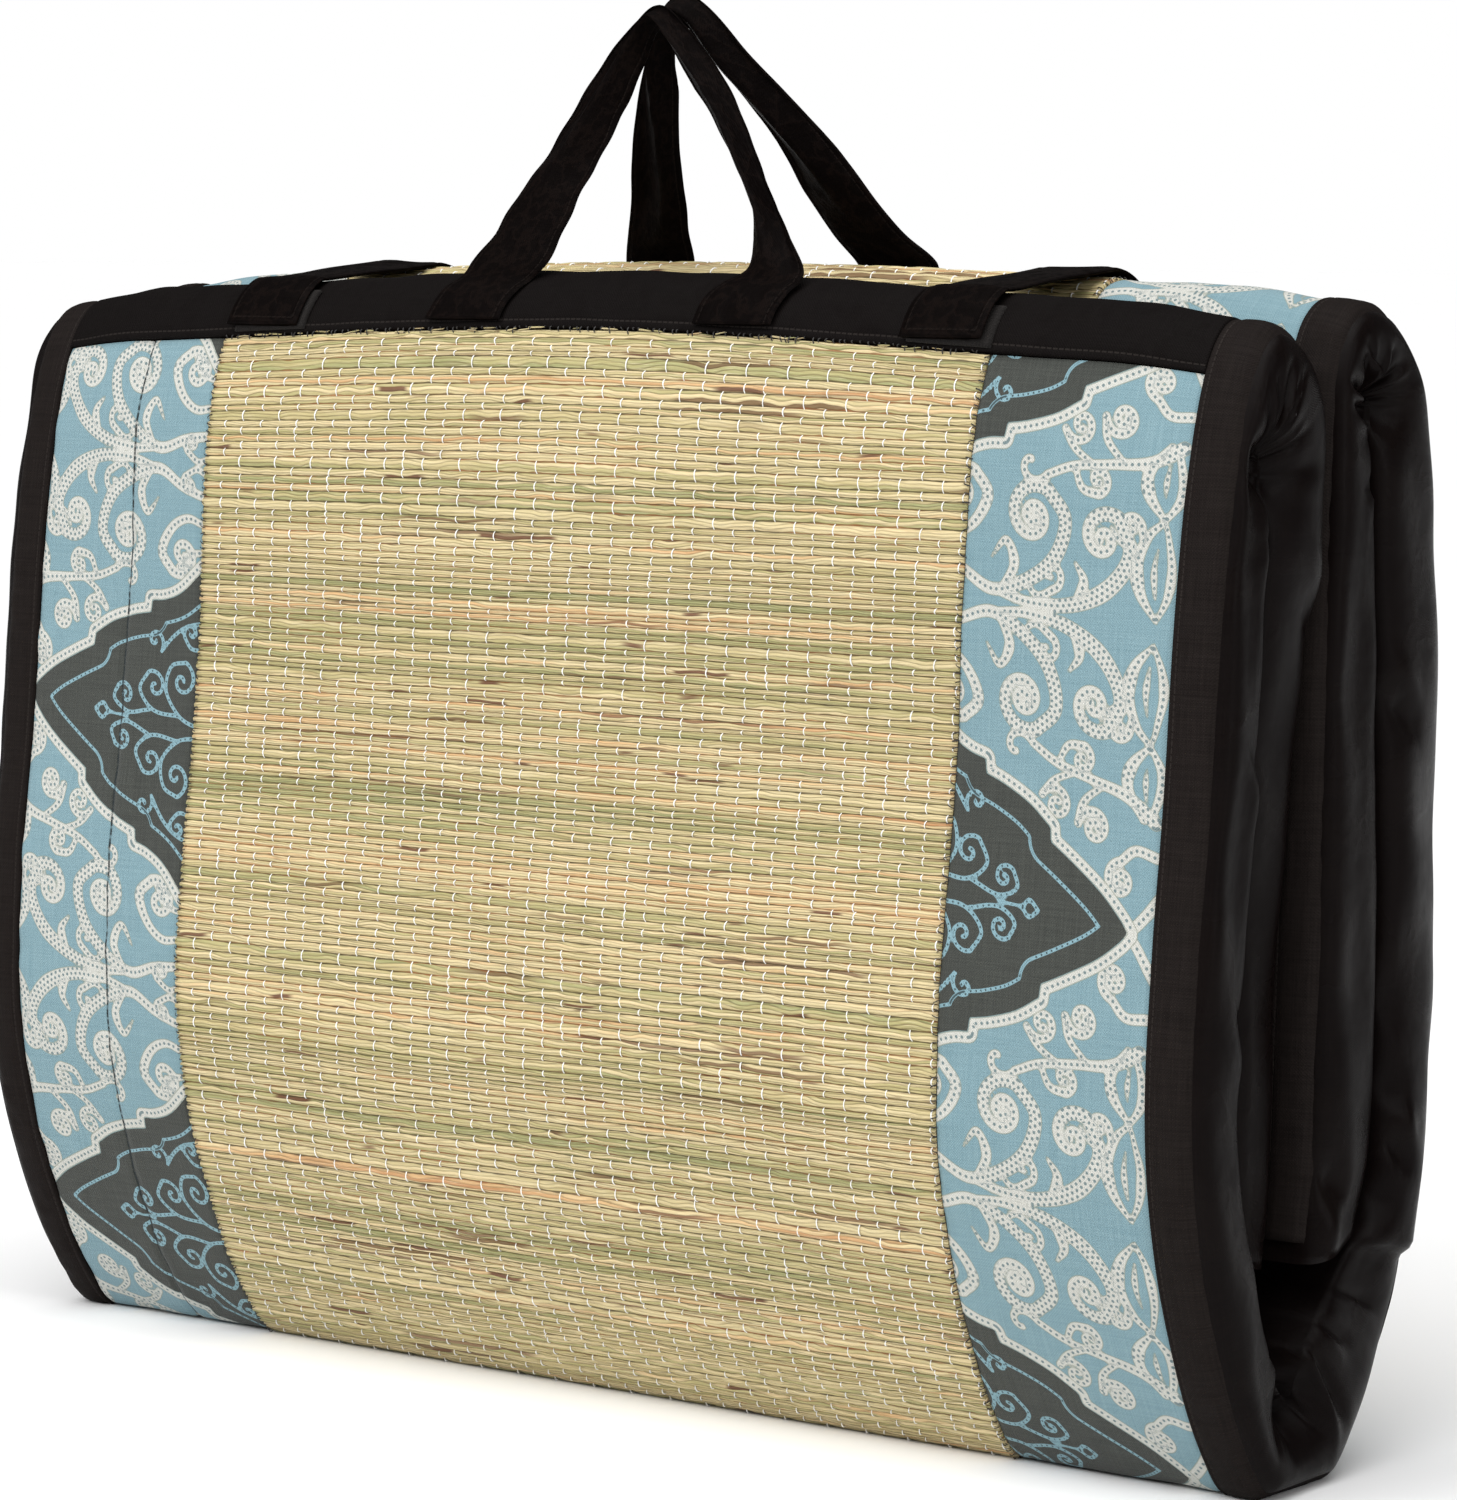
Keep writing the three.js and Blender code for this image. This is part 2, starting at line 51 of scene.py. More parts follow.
# Face Y and Z, then back Y and Z of the folded pad, in mm, from the end in the front half to the
# end in the back half.
PAD_ROWS = np.array([
    [-13.5, 80, -33, 84], [-9, 118, -36, 118], [-5.5, 178, -37.5, 178],
    [-3, 240, -38.5, 240], [-2.5, 300, -39, 300], [-1, 345, -39.2, 345],
    [1, 378, -39.3, 364], [-3.5, 400, -39.5, 368.5], [-14, 414.5, -39.9, 370.6],
    [-30, 421, -40.4, 371.2], [-43.5, 412, -40.9, 370.6], [-53.5, 391, -41.4, 367.5],
    [-60, 362, -41.7, 357], [-63.5, 325, -41.7, 325], [-66.5, 285, -42.5, 285],
    [-71, 240, -45, 240], [-76.5, 200, -50, 200], [-80, 160, -54, 160],
    [-79, 122, -52.5, 122], [-71, 84, -44, 92], [-57, 46, -35, 66],
    [-42, 18, -25, 47], [-28, 2, -18, 37], [-8, -1, -12, 35],
    [12, 2, -8, 41], [28, 18, -3, 52], [42.5, 39, 6, 64],
    [56, 63, 18, 76], [63, 90, 34, 95], [71, 125, 41, 128],
    [78, 165, 42, 165], [79.8, 210, 42, 210], [80.1, 262, 40.5, 262],
    [78.2, 312, 38, 312], [74.5, 355, 36.5, 355], [69, 385, 35.6, 383],
    [60.5, 408, 35, 389.5], [46, 423.5, 34.2, 391.5], [30, 427.5, 33.2, 391.8],
    [17, 420, 32.4, 390.8], [10, 404, 31.7, 387.5], [7.8, 384, 31.4, 379],
    [6.5, 350, 32.2, 350], [4.5, 300, 33.8, 300], [3.4, 240, 36, 240],
    [1.2, 180, 37.6, 180], [-2.2, 120, 36.5, 122], [-6.6, 82, 26, 90],
], float)
LAST_ROW = len(PAD_ROWS) - 1


def ease(low, high, value):
    share = np.clip((value - low) / (high - low), 0, 1)
    return share * share * (3 - 2 * share)


def near(value, place, reach):
    """1 at a place, falling off smoothly to 0 beyond its reach."""
    return np.exp(-((value - place) / reach) ** 2)


def smooth_line(points, row):
    """Places and directions on the smooth line through the points, at row positions."""
    row = np.clip(np.asarray(row, float), 0, len(points) - 1)
    start = np.minimum(row.astype(int), len(points) - 2)
    t = (row - start)[..., None]
    first = 2 * points[0] - points[1]
    final = 2 * points[-1] - points[-2]
    ends = np.vstack([first, points, final])
    p0, p1, p2, p3 = (ends[start + step] for step in range(4))
    m1 = (p2 - p0) / 2
    m2 = (p3 - p1) / 2
    place = (2 * t**3 - 3 * t**2 + 1) * p1 + (t**3 - 2 * t**2 + t) * m1
    place = place + (3 * t**2 - 2 * t**3) * p2 + (t**3 - t**2) * m2
    way = (6 * t**2 - 6 * t) * p1 + (3 * t**2 - 4 * t + 1) * m1
    way = way + (6 * t - 6 * t**2) * p2 + (3 * t**2 - 2 * t) * m2
    return place, way / np.linalg.norm(way, axis=-1, keepdims=True)


def run_along(line):
    """The length run at each point of a line."""
    return np.concatenate([[0], np.cumsum(np.linalg.norm(np.diff(line, axis=0), axis=1))])


ROW_STEPS = np.linspace(0, LAST_ROW, 4701)
FACE_LINE = smooth_line(PAD_ROWS[:, :2], ROW_STEPS)[0]
LENGTH_AT_STEP = run_along(FACE_LINE)


def length_at(row):
    """Length along the pad's face, in mm, at a row position."""
    return np.interp(row, ROW_STEPS, LENGTH_AT_STEP)


def row_at(length):
    """Row position at a length along the pad's face."""
    return np.interp(length, LENGTH_AT_STEP, ROW_STEPS)


# How much higher the front and back fold stand in the middle of the width, in mm.
FRONT_RISE = 10.0
BACK_RISE = 6.5


def fold_rise(x, y, z):
    """How far the tops of the folds stand higher in the middle of the width."""
    across = np.cos(math.pi * np.minimum(np.abs(x), 300) / 600) ** 2
    rise = FRONT_RISE + (BACK_RISE - FRONT_RISE) * ease(-45, 45, y)
    return rise * across * ease(320, 425, z)


def wander(seed, *places, waves=7, reach=1.0):
    """Smooth seeded unevenness from -1 to 1; each place is already divided by its wave length."""
    dice = np.random.default_rng(seed)
    total = 0.0
    for _ in range(waves):
        turn = dice.uniform(0, 2 * math.pi)
        for place in places:
            turn = turn + 2 * math.pi * place * dice.uniform(-1, 1) * reach
        total = total + np.cos(turn)
    return total / math.sqrt(waves) / 1.5


def swell(length, x):
    """The face's slack: soft hollows and swells of the padding, in mm, none on the floor."""
    slack = 1.5 * wander(11, length / 190, x / 260) + 0.5 * wander(12, length / 60, x / 90)
    resting = 1 - ease(700, 760, length) * (1 - ease(880, 940, length))
    outer = ease(300, 420, length) * (1 - ease(1220, 1330, length))
    return slack * resting * outer * (1 - ease(255, 290, np.abs(x)))


# How far the fold tops slope off and turn in at the bundle's ends, and how far the front's inner
# layer is drawn in at the right end, in mm.
TOP_SLOPE = 6.0
SHOULDER_TURN = 5.5
DRAWN_IN = 15.0


def settled(x, y, z, row):
    """The folded place of a point of the flat-ended section, in metres: fold tops rise in the middle,
    slope off and turn in at the ends, and the front's inner layer is drawn in below its fold."""
    end = ease(236, 296, np.abs(x))
    top = ease(370, 425, z)
    shoulder = ease(290, 395, z) * (1 - ease(-62, -16, y))
    inner_layer = 1 - ease(2.2, 5.2, row)
    rise = fold_rise(x, y, z) - TOP_SLOPE * end * top
    x = x - DRAWN_IN * inner_layer * ease(-60, 292, x)
    return np.stack([x, y + SHOULDER_TURN * end * shoulder, z + rise], -1) * MM


def on_face(length, x, height):
    """Points above the pad's face, in metres, from length along the mat, x across and height."""
    length, x, height = np.broadcast_arrays(length, x, height)
    row = row_at(length)
    place, way = smooth_line(PAD_ROWS[:, :2], row)
    out = height + swell(length, x)
    y = place[..., 0] + way[..., 1] * out
    z = np.maximum(place[..., 1] - way[..., 0] * out, np.maximum(FLOOR_GAP - height, 0))
    return settled(x, y, z, row)


def mesh_piece(name, points, faces, finish, marks=None):
    """A smooth mesh object in the given finish; marks are named vectors at its points."""
    mesh = bpy.data.meshes.new(name)
    faces = faces if isinstance(faces, list) else faces.tolist()
    mesh.from_pydata(np.asarray(points, float).reshape(-1, 3), [], faces)
    mesh.validate()
    mesh.polygons.foreach_set("use_smooth", [True] * len(mesh.polygons))
    for mark, values in (marks or {}).items():
        layer = mesh.attributes.new(mark, "FLOAT_VECTOR", "POINT")
        layer.data.foreach_set("vector", np.asarray(values, np.float32).ravel())
    piece = bpy.data.objects.new(name, mesh)
    bpy.context.scene.collection.objects.link(piece)
    mesh.materials.append(finish)
    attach(piece, "root")
    return piece


def grid_faces(rows, columns, around=False):
    """Quads between the points of a grid; around joins the last column to the first."""
    last = columns if around else columns - 1
    row, column = np.meshgrid(np.arange(rows - 1), np.arange(last), indexing="ij")
    beside = (column + 1) % columns
    corners = [row * columns + column, (row + 1) * columns + column]
    corners += [(row + 1) * columns + beside, row * columns + beside]
    return np.stack(corners, -1).reshape(-1, 4)


def tube_faces(rows, columns, turned=False):
    """The faces of a closed tube: its side, and a cap at each end that is turned if the tube is."""
    caps = [list(range(columns))[::-1], [(rows - 1) * columns + i for i in range(columns)]]
    if turned:
        caps = [cap[::-1] for cap in caps]
    return grid_faces(rows, columns, around=True).tolist() + caps


def many_of(faces, points_each, count):
    """The faces of count small pieces alike, whose points follow each other."""
    return (faces[None] + points_each * np.arange(count)[:, None, None]).reshape(-1, 4)


def three(first, second, third=0.0):
    """One vector for each point, from three values that may be spread over the grid."""
    return np.stack(np.broadcast_arrays(first, second, third), -1)


def tone(code):
    """A hex colour as the linear values that a shader takes."""
    parts = [int(code[i:i + 2], 16) / 255 for i in (1, 3, 5)]
    return [p / 12.92 if p <= 0.04045 else ((p + 0.055) / 1.055) ** 2.4 for p in parts] + [1.0]


class Recipe:
    """Builds the nodes of one material or one node group."""

    def __init__(self, tree):
        self.tree = tree

    def node(self, kind, settings=None, **values):
        made = self.tree.nodes.new(kind)
        for key, value in (settings or {}).items():
            setattr(made, key, value)
        for key, value in values.items():
            self.put(made.inputs[key.replace("_", " ")], value)
        return made

    def put(self, socket, value):
        if isinstance(value, bpy.types.NodeSocket):
            self.tree.links.new(value, socket)
        else:
            socket.default_value = value

    def combined(self, operation, *values):
        made = self.tree.nodes.new("ShaderNodeMath")
        made.operation = operation
        for i, value in enumerate(values):
            self.put(made.inputs[i], value)
        return made.outputs[0]

    plus = partialmethod(combined, "ADD")
    minus = partialmethod(combined, "SUBTRACT")
    times = partialmethod(combined, "MULTIPLY")
    over = partialmethod(combined, "DIVIDE")
    size = partialmethod(combined, "ABSOLUTE")
    fraction = partialmethod(combined, "FRACT")
    whole = partialmethod(combined, "FLOOR")
    larger = partialmethod(combined, "MAXIMUM")
    smaller = partialmethod(combined, "MINIMUM")
    sine = partialmethod(combined, "SINE")
    root = partialmethod(combined, "SQRT")

    def mix(self, share, first, second):
        made = self.tree.nodes.new("ShaderNodeMix")
        made.data_type = "RGBA"
        self.put(made.inputs[0], share)
        self.put(made.inputs[6], first)
        self.put(made.inputs[7], second)
        return made.outputs[2]

    def between(self, value, low, high, to_low=0.0, to_high=1.0):
        made = self.tree.nodes.new("ShaderNodeMapRange")
        made.interpolation_type = "SMOOTHSTEP"
        for i, item in enumerate((value, low, high, to_low, to_high)):
            self.put(made.inputs[i], item)
        return made.outputs[0]

    def mark(self, name, parts=False):
        """A named value of the mesh; as parts it comes as its three numbers."""
        made = self.node("ShaderNodeAttribute", {"attribute_name": name})
        return self.by_three(made.outputs["Vector"]) if parts else made.outputs["Vector"]

    def noise(self, place, scale, detail=3.0, rough=0.5):
        return self.node("ShaderNodeTexNoise", Vector=place, Scale=scale, Detail=detail,
                         Roughness=rough).outputs["Fac"]

    def dice(self, number):
        """A random value from 0 to 1, the same for the same number."""
        made = self.node("ShaderNodeTexWhiteNoise", {"noise_dimensions": "1D"}, W=number)
        return made.outputs["Value"]

    def stretched(self, place, x, y, z=1.0):
        made = self.node("ShaderNodeVectorMath", {"operation": "MULTIPLY"})
        self.put(made.inputs[0], place)
        self.put(made.inputs[1], (x, y, z))
        return made.outputs[0]

    def by_three(self, value):
        """The three numbers of a vector."""
        return self.node("ShaderNodeSeparateXYZ", Vector=value).outputs

    def bump(self, height, strength, distance, below=None):
        """A surface direction raised by a height, over the direction below."""
        made = self.node("ShaderNodeBump", Height=height, Strength=strength, Distance=distance)
        if below is not None:
            self.put(made.inputs["Normal"], below)
        return made.outputs[0]

    def group(self, tree, **values):
        return self.node("ShaderNodeGroup", {"node_tree": tree}, **values)


def effect(name, inputs, outputs):
    """A new shader node group with named sockets, and its recipe, inputs and outputs."""
    tree = bpy.data.node_groups.new(name, "ShaderNodeTree")
    for label, kind, default in inputs:
        socket = tree.interface.new_socket(label, in_out="INPUT", socket_type=kind)
        if default is not None:
            socket.default_value = default
    for label, kind in outputs:
        tree.interface.new_socket(label, in_out="OUTPUT", socket_type=kind)
    recipe = Recipe(tree)
    return tree, recipe, recipe.node("NodeGroupInput").outputs, recipe.node("NodeGroupOutput").inputs


def finish_named(name, **values):
    """A material with its surface shader, whose constants are set on its own sockets."""
    material = bpy.data.materials.new(name)
    material.use_nodes = True
    material.node_tree.nodes.clear()
    recipe = Recipe(material.node_tree)
    shader = recipe.node("ShaderNodeBsdfPrincipled", **values)
    output = recipe.node("ShaderNodeOutputMaterial")
    recipe.put(output.inputs["Surface"], shader.outputs[0])
    return material, recipe, shader


def mottled(name, scale, dark, pale, **values):
    """A finish whose colour varies a little between two tones."""
    finish, m, shader = finish_named(name, **values)
    spots = m.noise(m.node("ShaderNodeTexCoord").outputs["Object"], scale)
    m.put(shader.inputs["Base Color"], m.mix(spots, tone(dark), tone(pale)))
    return finish


# Plain weave, shared by every cotton here: two sets of threads over and under, a little uneven.
weave, w, w_in, w_out = effect(
    "plain_weave",
    [("Cloth", "NodeSocketVector", None), ("Thread", "NodeSocketFloat", 0.5)],
    [("Height", "NodeSocketFloat"), ("Slub", "NodeSocketFloat")])
w_parts = w.by_three(w_in["Cloth"])
w_pitch = w.over(math.pi, w_in["Thread"])
w_across = w.sine(w.times(w_parts[0], w_pitch))
w_along = w.sine(w.times(w_parts[1], w_pitch))
w_slub_across = w.noise(w.stretched(w_in["Cloth"], 0.04, 1.6), 1.0, 2.0)
w_slub_along = w.noise(w.stretched(w_in["Cloth"], 1.6, 0.04), 1.0, 2.0)
w_slub = w.plus(w_slub_across, w_slub_along)
w.put(w_out["Slub"], w.minus(w_slub, 0.5))
w.put(w_out["Height"], w.plus(w.times(w_across, w_along), w_slub))

# Crease, shared by the black cloths: soft handling marks that dull or lift the polish.
crease, c, c_in, c_out = effect(
    "handling_creases",
    [("Cloth", "NodeSocketVector", None), ("Size", "NodeSocketFloat", 30.0)],
    [("Height", "NodeSocketFloat"), ("Mark", "NodeSocketFloat")])
c_scale = c.over(1.0, c_in["Size"])
c_soft = c.noise(c_in["Cloth"], c_scale, 4.0, 0.6)
c_fold = c.size(c.minus(c_soft, 0.5))
c.put(c_out["Height"], c.minus(0.5, c_fold))
c.put(c_out["Mark"], c.between(c_fold, 0.0, 0.06, 1.0, 0.0))

cover_cotton, m, shader = finish_named("polished_black_cotton", Specular_IOR_Level=0.05)
m_weave = m.group(weave, Cloth=m.mark("cloth"), Thread=0.45)
m_crease = m.group(crease, Cloth=m.mark("cloth"), Size=85.0)
m_tone = m.mix(m_weave.outputs["Slub"], tone("#080505"), tone("#100b0a"))
m_tone = m.mix(m.times(m_crease.outputs["Mark"], 0.2), m_tone, tone("#15100e"))
m.put(shader.inputs["Base Color"], m_tone)
m.put(shader.inputs["Roughness"], m.between(m_crease.outputs["Height"], 0.35, 0.5, 0.42, 0.26))
m_fine = m.bump(m_weave.outputs["Height"], 0.2, 0.0002)
m.put(shader.inputs["Normal"], m.bump(m_crease.outputs["Height"], 0.35, 0.006, m_fine))

# The inside of each fold, where the side wall is drawn in: Y, Z, depth and reach of the pit in mm.
GATHER_PITS = [(-40.0, 368.0, 22.0, 9.0), (34.0, 389.0, 24.0, 9.0), (-13.0, 33.0, 22.0, 10.0)]
# Rows over which each fold's pleats fan out, how many there are and how deep they are.
GATHER_FANS = [(5.2, 13.0, 8, 6.5), (35.0, 42.4, 8, 7.0), (20.0, 27.2, 7, 5.5)]
# Short tucks elsewhere in the side wall: row, share through the pad, depth, and reach of each.
WALL_TUCKS = [(32.3, 0.78, 5.0, 0.16, 0.22), (29.3, 0.93, 6.0, 0.35, 0.14), (28.7, 0.80, 5.0, 0.22, 0.20),
              (30.1, 0.95, 4.5, 0.40, 0.12), (28.2, 0.95, 6.0, 0.25, 0.16), (46.2, 0.20, 5.0, 0.30, 0.18),
              (14.4, 0.85, 3.0, 0.20, 0.25), (16.6, 0.90, 3.0, 0.25, 0.20), (4.2, 0.15, 3.0, 0.25, 0.25)]
LEDGE_ROW = 27.55


def pleat_shape(away):
    """A pleat's section: a sharp valley beside a full round ridge."""
    return np.exp(-np.abs(away) * 1.6) - 0.55 * near(away, 1.5, 0.8)


def gathers(row, share, y, z):
    """How far the side wall is drawn in, in mm, share 0 at the face's edge and 1 at the back's."""
    drawn = 0.0 * row * share
    for pit_y, pit_z, depth, reach in GATHER_PITS:
        away = np.hypot(y - pit_y, z - pit_z)
        drawn = drawn + depth * np.exp(-(away / reach) ** 1.4)
    for number, (first, last, count, depth) in enumerate(GATHER_FANS):
        dice = np.random.default_rng(40 + number)
        inside = ease(first, first + 1.2, row) * (1 - ease(last - 1.2, last, row))
        for pleat in np.linspace(first + 0.5, last - 0.5, count):
            bend = dice.uniform(-0.5, 0.5)
            at = pleat + dice.uniform(-0.3, 0.3) + (share - 0.7) * bend
            width = dice.uniform(0.14, 0.28) * (0.5 + 0.8 * (1 - share))
            starts = dice.uniform(0.0, 0.45)
            strength = ease(starts, starts + 0.5, share) * dice.uniform(0.35, 1.0) * depth
            drawn = drawn + inside * strength * pleat_shape((row - at) / width * dice.choice([-1, 1]))
    for tuck_row, tuck_share, depth, long_reach, wide_reach in WALL_TUCKS:
        off_row = row - tuck_row - 0.5 * (share - tuck_share)
        drawn = drawn + depth * near(share, tuck_share, wide_reach) * pleat_shape(off_row / long_reach)
    return drawn


LEDGE_DEPTH = 3.5


def pad_mesh():
    """The filled pad: a ring of face, side wall, back and other side wall, swept along the mat."""
    rows = np.linspace(0, LAST_ROW, LAST_ROW * 10 + 1)
    face = smooth_line(PAD_ROWS[:, :2], rows)[0]
    back = smooth_line(PAD_ROWS[:, 2:], rows)[0]
    length = length_at(rows)[:, None]
    row = rows[:, None]
    top = on_face(length, np.linspace(-HALF_WIDTH, HALF_WIDTH, 27)[None, :], 0.0)
    under_x = np.linspace(HALF_WIDTH, -HALF_WIDTH, 13)[None, :]
    under = settled(*np.broadcast_arrays(under_x, back[:, :1], back[:, 1:], row))
    share = np.linspace(0, 1, 27)[None, 1:-1]
    y = face[:, :1] + (back[:, :1] - face[:, :1]) * share
    z = np.maximum(face[:, 1:], FLOOR_GAP)
    z = z + (back[:, 1:] - z) * share
    spread = np.broadcast_to(row, y.shape)
    walls = []
    for side in (1, -1):
        round_off = (1 - np.abs(2 * share - 1) ** 3.2) ** 0.5
        slack = 1.5 * wander(21 + side, length / 75, share * 0.9)
        slack = slack + 0.5 * wander(25 + side, length / 30, share)
        # Above the ledge the back layer's wall overhangs; below it the bend's wall is flat and smooth.
        past_ledge = ease(LEDGE_ROW - 0.12, LEDGE_ROW + 0.12, spread)
        ledge = LEDGE_DEPTH * past_ledge * (1 - ease(28.4, 30.5, spread))
        ledge = ledge - LEDGE_DEPTH * (1 - past_ledge) * ease(24.5, 27.0, spread)
        x = HALF_WIDTH + (WALL_BULGE + slack + ledge - gathers(spread, share, y, z)) * round_off
        walls.append(settled(*np.broadcast_arrays(side * x, y, z, spread)))
    ring = np.concatenate([top, walls[0], under, walls[1][:, ::-1]], axis=1)
    columns = ring.shape[1]
    around = run_along(ring[len(rows) // 2]) / MM
    return mesh_piece("padding_and_cover", ring, tube_faces(len(rows), columns), cover_cotton,
                      {"cloth": three(around[None, :], length)})


pad = pad_mesh()
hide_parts("mat_pad")


# Rush panels. Bundles of about three dry rush stems lie across the mat and are sewn side by side
# with white thread: one long panel down the front, under the bend and up the back, and two shorter
# ones turned in over the folds. They are stitched flat on the pad along both edges.
RUSH_HALF = 186.0
THREAD_PITCH = 9.5
SHEET_GAP = 0.3
BAND_LENGTHS = {"front": (length_at(8.5), length_at(10.5)), "back": (length_at(35.0), length_at(37.0))}
PANELS = {
    "middle": (BAND_LENGTHS["front"][1] + 0.5, BAND_LENGTHS["back"][0] - 0.5),
    "front_end": (length_at(0.15), BAND_LENGTHS["front"][0] - 0.5),
    "back_end": (BAND_LENGTHS["back"][1] + 0.5, length_at(LAST_ROW - 0.15)),
}

straw, m, shader = finish_named(
    "sewn_rush_stems", Coat_Weight=0.12, Coat_Roughness=0.35, Specular_IOR_Level=0.4)
stem_parts = m.mark("stems", parts=True)
x_mark, stem_mark = stem_parts[0], stem_parts[1]
bundle = m.whole(stem_mark)
inside = m.fraction(stem_mark)


def streak(x_scale, y_value, y_scale, detail=2.0, rough=0.5):
    """Noise drawn out along the stems."""
    place = m.node("ShaderNodeCombineXYZ", X=m.times(x_mark, x_scale), Y=m.times(y_value, y_scale))
    return m.noise(place.outputs[0], 1.0, detail, rough)


# About three stems lie in a bundle. They shift sideways between ties, so their joints run slantwise.
shift = m.times(m.minus(streak(0.055, bundle, 3.7, 1.0), 0.5), 3.2)
stem_place = m.plus(m.times(inside, 2.8), shift)
stem_number = m.plus(m.whole(stem_place), m.times(bundle, 7.31))
stem_dice = m.dice(stem_number)
from_joint = m.fraction(stem_place)
from_joint = m.smaller(from_joint, m.minus(1.0, from_joint))
bundle_dice = m.dice(bundle)
field_tone = streak(0.0022, stem_mark, 0.13)
stem_tone = streak(0.010, stem_number, 1.7, 2.0, 0.6)
fibre_tone = streak(0.05, stem_mark, 13.0, 3.0, 0.65)
pick = m.plus(m.times(bundle_dice, 0.26), m.times(field_tone, 0.46))
pick = m.plus(pick, m.times(stem_dice, 0.30))
pick = m.plus(pick, m.times(m.minus(stem_tone, 0.5), 0.55))
STRAW_TONES = [(0.22, "#9a9a66"), (0.34, "#b0a872"), (0.44, "#c5b582"), (0.54, "#d8c798"),
               (0.64, "#e0cc9c"), (0.75, "#d6ae7b"), (0.90, "#b98454")]
ramp = m.node("ShaderNodeValToRGB", Fac=pick)
ends = ramp.color_ramp.elements
for element, (position, code) in ((ends[0], STRAW_TONES[0]), (ends[1], STRAW_TONES[-1])):
    element.position, element.color = position, tone(code)
for position, code in STRAW_TONES[1:-1]:
    ramp.color_ramp.elements.new(position).color = tone(code)
m_tone = m.mix(m.between(fibre_tone, 0.52, 0.72, 0.0, 0.6), ramp.outputs["Color"], tone("#efe2bd"))
m_tone = m.mix(m.between(fibre_tone, 0.28, 0.46, 0.6, 0.0), m_tone, tone("#8c7040"))
joint = m.between(from_joint, 0.02, 0.17, 1.0, 0.0)
m_tone = m.mix(m.times(joint, m.between(stem_tone, 0.35, 0.6, 0.75, 0.25)), m_tone, tone("#6f562c"))
# A few stems are scorched brown for a stretch.
burn = m.larger(m.between(streak(0.020, stem_number, 5.7, 1.0), 0.71, 0.75),
             m.times(m.between(streak(0.006, stem_number, 2.3, 1.0), 0.68, 0.72), 0.8))
m_tone = m.mix(m.times(burn, 0.9), m_tone, tone("#5f2c10"))
# The thread ties every bundle at every other column, where the bundle pinches and the gap opens.
column = m.plus(m.over(m.plus(x_mark, RUSH_HALF), 2 * THREAD_PITCH), m.times(bundle, 0.5))
from_tie = m.times(m.size(m.minus(m.fraction(m.plus(column, 0.5)), 0.5)),
                 2 * THREAD_PITCH)
gap_width = m.between(from_tie, 0.3, 4.5, 0.20, 0.08)
from_gap = m.smaller(inside, m.minus(1.0, inside))
gap = m.between(m.over(from_gap, gap_width), 0.25, 1.0, 1.0, 0.0)
gap_tone = m.mix(m.between(streak(0.012, bundle, 9.1, 1.0), 0.5, 0.62), tone("#4d3f20"), tone("#9a5a26"))
m_tone = m.mix(m.times(gap, 0.85), m_tone, gap_tone)
m.put(shader.inputs["Base Color"], m_tone)
m.put(shader.inputs["Roughness"], m.between(stem_tone, 0.3, 0.7, 0.62, 0.42))
relief = m.plus(m.times(fibre_tone, 0.35), m.times(m.smaller(from_joint, 0.3), 2.2))
relief = m.minus(relief, m.times(gap, 0.8))
m.put(shader.inputs["Normal"], m.bump(relief, 0.6, 0.0011))


def bundle_edges(start, end, seed):
    """Lengths along the mat at which one bundle ends and the next begins."""
    dice = np.random.default_rng(seed)
    widths = dice.choice([1.7, 2.2, 2.7, 3.2, 3.9], 600, p=[0.15, 0.27, 0.3, 0.19, 0.09])
    widths = widths * dice.uniform(0.9, 1.1, 600)
    edges = start + np.concatenate([[0], np.cumsum(widths)])
    count = int(np.searchsorted(edges, end - 1.2))
    edges = edges[:count]
    return np.append(edges, end)


def stem_wave(length, x, seed):
    """How far the stems stray from straight, in mm, none at the panel's ends."""
    return 0.45 * wander(seed, length / 45, x / 170) + 0.12 * wander(seed + 1, length / 9, x / 45)


